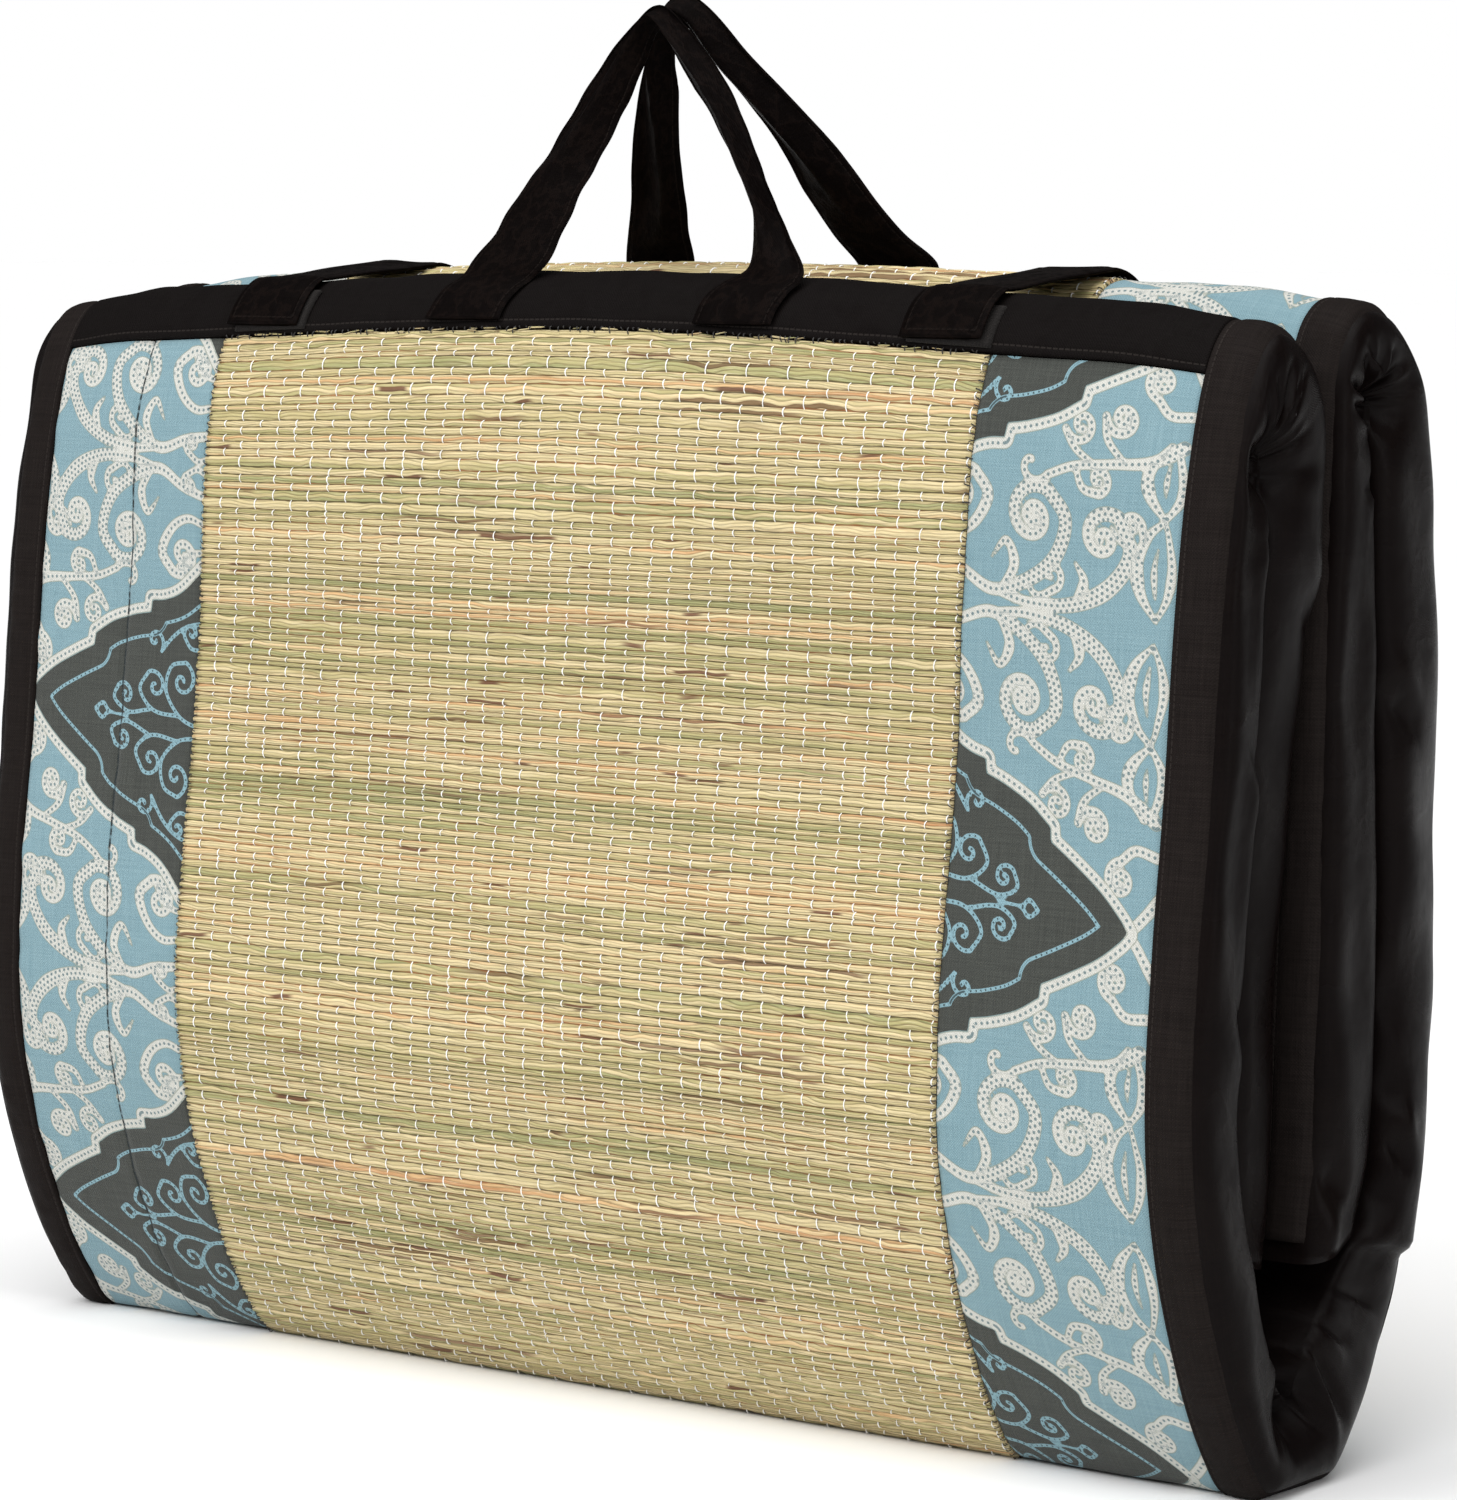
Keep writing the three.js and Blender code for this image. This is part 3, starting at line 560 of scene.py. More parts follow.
def rush_panel(name, start, end, seed, fine_until, step_x):
    """The sewn stems as one sheet, with more points across each bundle up to fine_until."""
    edges = bundle_edges(start, end, seed)
    dice = np.random.default_rng(seed + 5)
    lengths, marks, crests = [], [], []
    for number in range(len(edges) - 1):
        shares = (0.0, 0.3, 0.68) if edges[number] < fine_until else (0.0, 0.5)
        crest = dice.uniform(1.5, 2.05)
        for share in shares:
            lengths.append(edges[number] + (edges[number + 1] - edges[number]) * share)
            marks.append(number + share)
            crests.append(0.75 if share == 0 else crest * dice.uniform(0.92, 1.05))
    lengths = np.array(lengths + [end])[:, None]
    marks = np.array(marks + [len(edges) - 1])[:, None]
    crests = np.array(crests + [0.75])[:, None]
    count = int(round(2 * RUSH_HALF / step_x))
    x = np.linspace(-RUSH_HALF, RUSH_HALF, count + 1)[None, :]
    inner = ease(start, start + 6, lengths) * (1 - ease(end - 6, end, lengths))
    wave = stem_wave(lengths, x, seed + 8) * inner
    tie = (x + RUSH_HALF) / (2 * THREAD_PITCH) + 0.5 * np.floor(marks)
    from_tie = np.abs(np.mod(tie + 0.5, 1) - 0.5) * 2 * THREAD_PITCH
    pinch = 1 - 0.2 * near(from_tie, 0, 2.2)
    high = SHEET_GAP + crests * pinch * (1 + 0.10 * wander(seed + 11, lengths / 3, x / 40))
    # The sheet's edges turn straight down to the pad.
    lengths, marks = (np.pad(values, ((1, 1), (0, 0)), "edge") for values in (lengths, marks))
    x = np.pad(x, ((0, 0), (1, 1)), "edge")
    top = on_face(lengths + np.pad(wave, 1), x, np.pad(high, 1, constant_values=SHEET_GAP))
    piece = mesh_piece(name, top, grid_faces(*top.shape[:2]), straw, {"stems": three(x, marks)})
    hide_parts(name.replace("sewn_rush", "rush_panel"))
    return edges


# Sewing thread. Glossy white thread ties each bundle at every other column; each tie lies over its
# bundle as one short upright dash, and the next bundle's ties stand halfway between.
white_thread = mottled("white_sewing_thread", 900.0, "#e9e8e4", "#fdfdfb", Roughness=0.5, Sheen_Weight=0.2)


def thread_ties(name, start, end, edges, seed):
    dice = np.random.default_rng(seed + 21)
    columns = int(2 * RUSH_HALF / THREAD_PITCH) + 1
    places, heights = [], []
    for number in range(len(edges) - 1):
        low, high = edges[number], edges[number + 1]
        if low < start + 1 or high > end - 1:
            continue
        for column in range(1, columns):
            if (column + number) % 2 and dice.random() > 0.03 or dice.random() < 0.02:
                continue
            x = -RUSH_HALF + column * THREAD_PITCH + dice.normal(0, 0.3)
            lean = dice.normal(0, 0.2)
            width = dice.uniform(0.22, 0.32)
            run = low + (high - low) * np.array([-0.06, 0.2, 0.5, 0.8, 1.06])
            over = SHEET_GAP + np.array([0.8, 1.6, 1.85, 1.6, 0.8])
            across = x + lean * np.array([-1, -0.5, 0, 0.5, 1])
            places.append([[(length, at - width), (length, at), (length, at + width)]
                           for length, at in zip(run, across)])
            heights.append([[o - 0.1, o + 0.28, o - 0.1] for o in over])
    places = np.array(places)
    lengths, x = places[..., 0], places[..., 1]
    points = on_face(lengths + stem_wave(lengths, x, seed + 8), x, np.array(heights))
    piece = mesh_piece(name, points, many_of(grid_faces(5, 3), 15, len(points)), white_thread)


for seed, (label, (start, end)) in enumerate(PANELS.items(), 100):
    fine_until = {"middle": 790.0, "front_end": 0.0, "back_end": 1400.0}[label]
    step_x = {"middle": THREAD_PITCH / 3, "front_end": THREAD_PITCH, "back_end": THREAD_PITCH / 2}[label]
    panel_edges = rush_panel(f"sewn_rush_{label}", start, end, seed, fine_until, step_x)
    thread_ties(f"thread_ties_{label}", start, end, panel_edges, seed)


# Printed cotton strips. Blue cotton with an off-white scroll print and charcoal ogee medallions,
# sewn on both sides of the rush with the raw edge turned under and oversewn in black. It is a
# traditional pattern: its repeat, places and slant follow the photo, its lines are drawn freely.
PRINT_OUTER = 276.0
SEAM_X = 226.0
PRINT_REPEAT = 210.0
PRINT_SKEW = 0.13
DOT_PITCH = 2.5
DOT_ROWS = 1.9
FRAME_HALF = 1.95
LACE_INSET = 9.0
LACE_HALF = 0.95


def drawn(points, steps=14):
    """A smooth pen line through the points, in mm of cloth."""
    points = np.array(points, float)
    return smooth_line(points, np.linspace(0, len(points) - 1, (len(points) - 1) * steps + 1))[0]


def curl(centre, start, turns, hand, eye, steps=60):
    """A spiral from start into its centre; hand is 1 or -1 for the way that it turns."""
    centre, start = np.array(centre, float), np.array(start, float)
    arm = start - centre
    angle = math.atan2(arm[1], arm[0]) + hand * np.linspace(0, 2 * math.pi * turns, steps)
    reach = np.hypot(*arm) * (eye / np.hypot(*arm)) ** np.linspace(0, 1, steps)
    return centre + np.stack([np.cos(angle), np.sin(angle)], -1) * reach[:, None]


def stem(points, wound=None):
    """A stem that runs through the points and may wind into a spiral."""
    if wound is None:
        return drawn(points)
    return np.vstack([drawn(points)[:-1], curl(wound[:2], points[-1], *wound[2:])])


# Places are (outwards from a medallion's tip, along the cloth from its middle), and the design
# mirrors at 0 and half a repeat. A vine has its points, the spiral that it winds into (centre,
# turns, hand and eye) and its half width at the start, middle and end; a lace line is even.
OUTLINE_PARTS = [
    [(0, 0), (-4, 4.5), (-13, 12), (-26, 20), (-35, 25)],
    [(-35.5, 30), (-45, 36.5), (-56, 41), (-65, 43.5)],
    [(-65.6, 48.5), (-73, 50), (-82, 54.5), (-93, 65), (-110, 82)],
]
OGEE = np.vstack([drawn(part) for part in OUTLINE_PARTS])
VINES = [
    ([(0, 0), (5, 5), (11, 13), (17, 24)], None, (2.3, 2.3, 2.3)),
    ([(-94, 93), (-80, 96), (-66, 101), (-52, 96), (-40, 86), (-36, 72),
     (-44, 63)], (-50.0, 73.0, 1.9, -1, 1.6), (2.0, 3.0, 2.2)),
    ([(-66, 101), (-50, 103), (-32, 101), (-17, 93), (-9, 80), (-14, 68)], (-20.0, 76.0, 1.4, -1, 1.6),
     (1.6, 3.4, 2.0)),
    ([(-94, 82), (-84, 84), (-75, 79), (-70, 69), (-76, 62)], (-81.0, 69.5, 1.3, -1, 1.6),
     (1.6, 2.6, 1.8)),
    ([(8, 40), (-4, 47), (-19, 50), (-34, 53), (-45, 58)], (-52.5, 55.5, 0.7, 1, 1.6), (2.8, 2.0, 1.6)),
    ([(-14, 49), (-22, 42), (-24, 34)], (-17.0, 33.5, 1.5, -1, 1.6), (1.4, 2.0, 1.8)),
    ([(-27, 51), (-35, 47), (-40, 41)], (-33.5, 38.5, 1.3, -1, 1.6), (1.4, 1.8, 1.6)),
    ([(10, 28), (1, 29), (-5, 24)], (-4.5, 17.5, 1.5, 1, 1.6), (2.2, 2.0, 1.8)),
    ([(-94, 101), (-88, 103.5), (-81, 100)], (-84.0, 97.0, 0.9, -1, 1.2), (1.4, 1.6, 1.6)),
    ([(-62, 100), (-57, 91), (-61, 83), (-67, 90)], None, (1.4, 2.4, 0.6)),
    ([(-30, 100), (-27, 92), (-31, 86)], None, (1.8, 2.4, 0.8)),
    ([(3, 101), (-4, 92), (-6, 82), (-2, 72), (4, 66)], None, (1.0, 3.0, 1.2)),
    ([(3, 101), (7, 92), (8, 82), (6, 72), (4, 66)], None, (1.0, 2.2, 1.0)),
    ([(4, 66), (-3, 58), (-4, 50), (3, 40)], None, (1.2, 2.8, 1.4)),
    ([(4, 66), (9, 58), (9, 50), (6, 40)], None, (1.2, 2.2, 1.4)),
    ([(-5, 84), (-9, 78), (-14, 75), (-17, 71)], None, (1.8, 1.8, 0.8)),
    ([(2, 93), (1, 84), (2, 76)], None, (0.8, 1.6, 0.6)),
    ([(-94, 72), (-86, 70), (-80, 64)], (-85.0, 60.0, 1.1, 1, 1.6), (1.4, 2.2, 1.6)),
    ([(-52, 96), (-46, 100), (-38, 96)], (-41.0, 91.5, 0.9, -1, 1.2), (1.2, 1.8, 1.4)),
    ([(-9, 80), (-4, 76), (-5, 69)], (-9.5, 70.0, 1.1, -1, 1.2), (1.4, 2.0, 1.5)),
    ([(-34, 53), (-30, 60), (-23, 61)], (-24.0, 56.0, 1.1, -1, 1.2), (1.3, 2.0, 1.5)),
    ([(3, 58), (3, 52), (4, 46)], None, (0.6, 1.4, 0.6)),
]
LACE = [
    ([(-94, 2), (-84, 5), (-76, 14), (-78, 24), (-86, 27)], (-84.0, 19.0, 1.2, 1, 1.2)),
    ([(-84, 5), (-70, 5), (-62, 12), (-66, 20)], (-70.0, 14.5, 1.1, 1, 1.2)),
    ([(-68, 5), (-56, 2), (-48, 6), (-50, 12)], (-54.0, 8.5, 1.2, 1, 1.0)),
    ([(-94, 44), (-85, 41), (-78, 36), (-72, 29)], (-68.0, 33.0, 1.1, -1, 1.0)),
    ([(-56, 0), (-46, 0), (-42, 3), (-38, 0)], None),
    ([(-94, 33), (-88, 33), (-84, 37)], (-88.0, 39.0, 1.0, 1, 1.0)),
]
VINES = [(stem(points, wound), *widths) for points, wound, widths in VINES]
LACE = [(stem(points, wound), LACE_HALF, LACE_HALF, LACE_HALF) for points, wound in LACE]


def nearest_line(out, along, lines):
    """For each place of the cloth: distance to the nearest line's edge, run along it and side of it."""
    best = np.full(out.shape, 1e3)
    run = np.zeros(out.shape)
    side = np.zeros(out.shape)
    for points, *widths in lines:
        runs = run_along(points)
        half = np.interp(runs / runs[-1], [0, 0.4, 1], widths)
        for a, b, run_a, run_b, wide in zip(points[:-1], points[1:], runs[:-1], runs[1:], half):
            reach = 12.0
            close = (np.abs(out - a[0]) < reach) & (np.abs(along - a[1]) < reach)
            if not close.any():
                continue
            p, q = out[close], along[close]
            way = b - a
            share = np.clip(((p - a[0]) * way[0] + (q - a[1]) * way[1]) / max(way @ way, 1e-9), 0, 1)
            off_p, off_q = p - a[0] - share * way[0], q - a[1] - share * way[1]
            edge = np.hypot(off_p, off_q) - wide
            better = edge < best[close]
            chosen = np.flatnonzero(close.ravel())[better]
            best.ravel()[chosen] = edge[better]
            run.ravel()[chosen] = (run_a + share * (run_b - run_a))[better]
            turn = way[0] * off_q - way[1] * off_p
            side.ravel()[chosen] = (np.hypot(off_p, off_q) * np.sign(turn))[better]
    return best, run, side


def ogee_distance(out, along):
    """Signed distance to the medallion's outline, below 0 inside, and run along the outline."""
    edge, run, _ = nearest_line(out, along, [(OGEE, 0.0, 0.0, 0.0)])
    outline_out = np.interp(along, OGEE[:, 1], OGEE[:, 0])
    return np.where(out < outline_out, -edge, edge), run


printed, m, shader = finish_named("printed_cotton", Sheen_Weight=0.12, Sheen_Roughness=0.5,
                                  Specular_IOR_Level=0.25)
cloth = m.mark("cloth")
m_weave = m.group(weave, Cloth=cloth, Thread=0.55)
ogee, vine, lace = (m.mark(name, parts=True) for name in ("ogee_print", "vine_print", "lace_print"))


def dots(recipe, run, side, edge, radius):
    """Rows of round dots along a printed line, as many as its width holds; edge is below 0 inside it."""
    row = recipe.whole(recipe.plus(recipe.over(side, DOT_ROWS), 0.5))
    across = recipe.minus(side, recipe.times(row, DOT_ROWS))
    place = recipe.plus(recipe.over(run, DOT_PITCH), recipe.times(row, 0.5))
    along = recipe.times(recipe.minus(recipe.fraction(place), 0.5), DOT_PITCH)
    away = recipe.root(recipe.plus(recipe.times(along, along),
                                         recipe.times(across, across)))
    half_width = recipe.minus(recipe.size(side), edge)
    room = recipe.minus(half_width, recipe.times(recipe.size(row), DOT_ROWS))
    held = recipe.between(room, radius - 0.05, radius + 0.1)
    return recipe.times(held, recipe.between(away, radius - 0.18, radius + 0.18, 1.0, 0.0))


blue = m.mix(m_weave.outputs["Slub"], tone("#6a8993"), tone("#829fa7"))
charcoal = m.mix(m_weave.outputs["Slub"], tone("#30322f"), tone("#434641"))
white = m.mix(m_weave.outputs["Slub"], tone("#b5b5ae"), tone("#cbcbc4"))
lace_blue, lace_dot = tone("#7d9fa9"), tone("#3a4a4e")
inside_ogee = m.between(ogee[0], -0.15, 0.15, 1.0, 0.0)
outside_ogee = m.minus(1.0, inside_ogee)


def outlined(ground, mask, edge, dotted):
    """White print with a grey outline and grey dots, laid over the ground."""
    ground = m.mix(mask, ground, white)
    ground = m.mix(m.times(edge, 0.55), ground, tone("#7d8474"))
    return m.mix(m.times(mask, m.times(dotted, 0.9)), ground, tone("#5f7478"))


# Inside the medallion a dotted line follows its outline, with fine scrolls of the same blue.
lace_off = m.plus(ogee[0], LACE_INSET)
lace_line = m.between(m.size(lace_off), 0.5, 0.8, 1.0, 0.0)
lace_dots = dots(m, ogee[1], lace_off, m.minus(m.size(lace_off), 0.65), 0.4)
lace_scroll = m.between(lace[0], -0.25, 0.0, 1.0, 0.0)
lace_scroll_dots = dots(m, lace[1], lace[2], lace[0], 0.4)
ground = m.mix(inside_ogee, blue, charcoal)
ground = m.mix(m.times(m.larger(lace_line, lace_scroll), inside_ogee), ground, lace_blue)
for line, dotted in ((lace_line, lace_dots), (lace_scroll, lace_scroll_dots)):
    ground = m.mix(m.times(m.times(line, dotted), inside_ogee), ground, lace_dot)
# Outside it white stems cover the blue, and a white frame runs round the medallion.
vine_edge = m.times(m.between(m.size(m.plus(vine[0], 0.2)), 0.1, 0.38, 1.0, 0.0), outside_ogee)
vine_mask = m.times(m.between(vine[0], -0.35, -0.05, 1.0, 0.0), outside_ogee)
ground = outlined(ground, vine_mask, vine_edge, dots(m, vine[1], vine[2], vine[0], 0.62))
frame_off = m.minus(ogee[0], FRAME_HALF + 0.3)
frame_side = m.minus(m.size(frame_off), FRAME_HALF)
frame_mask = m.between(frame_side, -0.15, 0.15, 1.0, 0.0)
frame_edge = m.between(m.size(frame_side), 0.1, 0.4, 1.0, 0.0)
ground = outlined(ground, frame_mask, frame_edge, dots(m, ogee[1], frame_off, frame_side, 0.6))
# A second strip of cloth is joined on at the left, where a wandering dark seam shows.
seam_parts = m.by_three(cloth)
seam_stray = m.times(m.minus(m.noise(m.stretched(cloth, 0.0, 0.02), 1.0), 0.5), 5.0)
seam_off = m.size(m.minus(m.plus(seam_parts[0], SEAM_X), seam_stray))
seam_line = m.between(seam_off, 0.25, 0.7, 1.0, 0.0)
seam_dashes = m.between(m.noise(m.stretched(cloth, 0.0, 0.35), 1.0), 0.35, 0.55, 0.35, 1.0)
seam_line = m.times(seam_line, seam_dashes)
ground = m.mix(seam_line, ground, tone("#1c2426"))
m.put(shader.inputs["Base Color"], ground)
m.put(shader.inputs["Roughness"], m.between(m_weave.outputs["Slub"], 0.2, 0.8, 0.86, 0.74))
m_height = m.minus(m_weave.outputs["Height"], m.times(seam_line, 3.0))
m.put(shader.inputs["Normal"], m.bump(m_height, 0.35, 0.0003))

# Where the print was cut: how far a medallion's tip lies out from the rush, and its middle's length.
PRINT_CUT = {"left": (92.0, 540.0), "right": (79.0, 573.0)}


def printed_strip(side, label, start, end, step):
    sign = SIDES[side]
    tip, middle = PRINT_CUT[side]
    x_inner, x_outer = RUSH_HALF + 0.4, PRINT_OUTER - 0.4
    columns = int((x_outer - x_inner) / step)
    x = np.linspace(x_inner, x_outer, columns + 1)
    if side == "left":
        x = np.sort(np.append(x, [SEAM_X - 0.8, SEAM_X, SEAM_X + 0.8]))
    lengths = np.linspace(start, end, int((end - start) / step) + 1)[:, None]
    x = x[None, :]
    seam = near(x, SEAM_X, 1.6) if side == "left" else 0.0
    pucker = 0.30 * wander(61, lengths / 14, x / 60) * near(x, x_inner, 9)
    pucker = pucker + 0.35 * wander(62, lengths / 11, x / 60) * near(x, x_outer, 8)
    if side == "left":
        pucker = pucker + 0.5 * wander(63, lengths / 13, x / 60) * near(x, SEAM_X, 12)
    high = SHEET_GAP + 1.0 + 0.25 * wander(64, lengths / 45, x / 30) + pucker - 0.7 * seam
    high = high - 0.6 * (near(x, x_inner, 1.2) + near(x, x_outer, 1.2))
    high = np.maximum(high, SHEET_GAP + 0.15)
    top = on_face(lengths, sign * x, high)
    rows, count = top.shape[:2]
    out = np.broadcast_to(x - RUSH_HALF - tip, (rows, count)).copy()
    # The cloth was cut a little off its grain, so the print climbs from left to right.
    square = lengths - middle - PRINT_SKEW * sign * (x - RUSH_HALF)
    along = np.abs(np.mod(square + PRINT_REPEAT / 2, PRINT_REPEAT) - PRINT_REPEAT / 2)
    edge, run = ogee_distance(out, along)
    marks = {"ogee_print": three(edge, run), "vine_print": three(*nearest_line(out, along, VINES)),
             "lace_print": three(*nearest_line(out, along, LACE)), "cloth": three(sign * x, lengths)}
    faces = grid_faces(rows, count)
    if sign < 0:
        faces = faces[:, ::-1]
    piece = mesh_piece(f"printed_strip_{side}_{label}", top, faces, printed, marks)
    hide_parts(f"print_{side}_{label}")


for side in ("left", "right"):
    for label, (start, end) in PANELS.items():
        printed_strip(side, label, start, end, {"middle": 1.2, "front_end": 2.4, "back_end": 2.0}[label])


# Overlock stitches. Fine black thread loops over the edge between rush and print, 3 mm apart.
black_thread = mottled("black_sewing_thread", 700.0, "#0d0c0c", "#24211f", Roughness=0.6)
LOOP_SPACING = 3.0


def overlock(name, start, end, x_seam, seed):
    dice = np.random.default_rng(seed)
    lengths = np.arange(start + 1, end - 1, LOOP_SPACING)
    lengths = lengths + dice.uniform(-0.5, 0.5, lengths.size)
    reach = dice.uniform(0.8, 1.7, lengths.size)
    lean = dice.uniform(-0.8, 0.8, lengths.size)
    wide = dice.uniform(0.16, 0.28, lengths.size)
    stations = np.array([-1.0, -0.35, 0.35, 1.0])
    inwards = -np.sign(x_seam)
    x = x_seam + inwards * reach[:, None] * (stations[None, :] + 0.2)
    run = lengths[:, None] + lean[:, None] * stations[None, :]
    over = np.array([1.4, 2.35, 2.6, 1.8])
    three = np.array([-1.0, 0.0, 1.0])
    points = on_face(run[..., None] + wide[:, None, None] * three, x[..., None] + 0 * three,
                     over[None, :, None] + np.array([-0.15, 0.15, -0.15]))
    piece = mesh_piece(name, points, many_of(grid_faces(4, 3), 12, lengths.size), black_thread)


for seed, (side, sign) in enumerate(SIDES.items(), 200):
    for label, (start, end) in PANELS.items():
        overlock(f"overlock_{side}_{label}", start, end, sign * RUSH_HALF, seed)


# Side borders. A strip of matt black cotton is sewn along each long edge of the face over the
# print's edge, turned under, top-stitched close to the print, and joined to the pad's side wall.
STITCH_PITCH = 2.6
STITCH_WIDE = 0.32


def stitches(m, away, run):
    """Top stitches on a line: away is the distance from it and run the length along it, in mm."""
    dash = m.size(m.minus(m.fraction(m.over(run, STITCH_PITCH)), 0.5))
    line = m.between(m.size(away), STITCH_WIDE * 0.6, STITCH_WIDE * 1.4, 1.0, 0.0)
    return m.times(line, m.between(dash, 0.36, 0.44, 1.0, 0.0))


def stitched_cotton(name, specular, thread, crease_size, tones, crease_share, stitch_tone, stitch_share,
                    roughness, groove_width, thread_depth, crease_strength):
    """Black cotton with top stitches in a groove; its third stitching value is 1 on the cross bands,
    whose cotton is darkened as painted shade, to offset the stronger light on their upward face."""
    finish, m, shader = finish_named(name, Specular_IOR_Level=specular)
    cloth = m.mark("cloth")
    woven = m.group(weave, Cloth=cloth, Thread=thread).outputs
    creased = m.group(crease, Cloth=cloth, Size=crease_size).outputs
    away, run, band_painted_shade = m.mark("stitching", parts=True)
    stitch = stitches(m, away, run)
    groove = m.between(m.size(away), 0.0, groove_width, 1.0, 0.0)
    shade = m.mix(woven["Slub"], tone(tones[0]), tone(tones[1]))
    # Painted shade: on the cross bands the cotton is darkened towards near black.
    shade = m.mix(m.times(band_painted_shade, 0.75), shade, tone("#060404"))
    shade = m.mix(m.times(creased["Mark"], crease_share), shade, tone("#1a120f"))
    shade = m.mix(m.times(stitch, stitch_share), shade, tone(stitch_tone))
    m.put(shader.inputs["Base Color"], shade)
    m.put(shader.inputs["Roughness"], m.between(creased["Height"], 0.3, 0.5, *roughness))
    threads = m.bump(woven["Height"], 0.3, thread_depth)
    sewn = m.bump(m.minus(m.times(stitch, 0.35), m.times(groove, 0.5)), 0.6, 0.0008, threads)
    m.put(shader.inputs["Normal"], m.bump(creased["Height"], crease_strength, 0.003, sewn))
    return finish


matt_cotton = stitched_cotton(
    "matt_black_cotton", specular=0.05, thread=0.6, crease_size=18.0, tones=("#120e0d", "#221d1b"),
    crease_share=0.0, stitch_tone="#3a3532", stitch_share=0.35, roughness=(0.8, 0.66),
    groove_width=1.2, thread_depth=0.0003, crease_strength=0.35)
BORDER_THICK = 2.3
BORDER_SEAM = 278.0
BORDER_OUTER = 295.4


def rounded_sheet(name, lengths, x, height, thick, finish, marks, corner=0.9):
    """A sheet with turned-down edges: a top grid whose rim rounds off down to the sheet's underside."""
    rim_x = np.concatenate([[x[0]], x, [x[-1]]])
    rim_lengths = np.concatenate([[lengths[0]], lengths, [lengths[-1]]])
    top = height(rim_lengths[:, None], rim_x[None, :])
    drop = np.zeros(top.shape)
    drop[[0, -1], :] = thick
    drop[:, [0, -1]] = thick
    drop[[1, -2], 1:-1] = np.maximum(drop[[1, -2], 1:-1], corner * 0.45)
    drop[1:-1, [1, -2]] = np.maximum(drop[1:-1, [1, -2]], corner * 0.45)
    points = on_face(rim_lengths[:, None], rim_x[None, :], top - drop)
    values = {key: value(rim_lengths[:, None], rim_x[None, :]) for key, value in marks.items()}
    return mesh_piece(name, points, grid_faces(*top.shape), finish, values)


def flat_place(lengths, x):
    return three(x, lengths)


for label, side in SIDES.items():
    start, end = length_at(0.15), length_at(LAST_ROW - 0.15)
    lengths = np.arange(start, end, 2.5)
    x = np.array([PRINT_OUTER, PRINT_OUTER + 0.9, BORDER_SEAM, 280, 282.5, 285, 287.5, 289.5, 291,
                  292.4, 293.6, 294.6, BORDER_OUTER])
    x = np.sort(side * x)

    def border_top(run, at, side=side):
        out = np.abs(at)
        crown = BORDER_THICK + SHEET_GAP + 0.5 * np.sin(math.pi * np.clip((out - 277.5) / 12, 0, 1))
        crown = crown - 5.2 * np.clip((out - 288.5) / 7.0, 0, 1) ** 2
        seam_dip = 0.55 * near(out, BORDER_SEAM, 0.8)
        pucker = 0.35 * wander(70 + side, run / 9, out / 40) * near(out, 290, 5)
        return crown - seam_dip + pucker + 0.3 * wander(73 + side, run / 60, out / 30)

    def stitch_line(run, at):
        return three(np.abs(at) - BORDER_SEAM, run)

    border = rounded_sheet(f"side_border_{label}", lengths, x, border_top, BORDER_THICK, matt_cotton,
                           {"cloth": flat_place, "stitching": stitch_line})
    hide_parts(f"border_{label}")


# Cross bands. A doubled black cotton band crosses the mat at the outer shoulder of each top fold.
# It covers the joint of two rush panels, is stitched down along both edges, and carries the handles.
BAND_THICK = 2.6
BAND_EDGE = 275.6
BAND_STITCH_INSET = 2.6
for label, seed in (("front", 81), ("back", 84)):
    start, end = BAND_LENGTHS[label]
    lengths = np.concatenate([[start, start + 0.7], np.arange(start + 2, end - 1.5, 2.0), [end - 0.7, end]])
    x = np.concatenate([[-BAND_EDGE, 0.9 - BAND_EDGE], np.arange(-273, 274, 3.0),
                        [BAND_EDGE - 0.9, BAND_EDGE]])

    def band_top(run, at, start=start, end=end, seed=seed):
        from_edge = np.minimum(run - start, end - run)
        seam_dip = 0.6 * near(from_edge, BAND_STITCH_INSET, 0.9)
        slack = 0.35 * wander(seed, at / 28, run / 30) + 0.3 * wander(seed + 1, at / 90, run / 60)
        return SHEET_GAP + BAND_THICK - seam_dip + slack

    def band_stitches(run, at, start=start, end=end):
        from_edge = np.minimum(run - start, end - run)
        # The third value 1 gives the band its painted shade.
        return three(from_edge - BAND_STITCH_INSET, at, 1.0)

    band = rounded_sheet(f"cross_band_{label}", lengths, x, band_top, BAND_THICK, matt_cotton,
                         {"cloth": flat_place, "stitching": band_stitches})
    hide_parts(f"band_{label}")


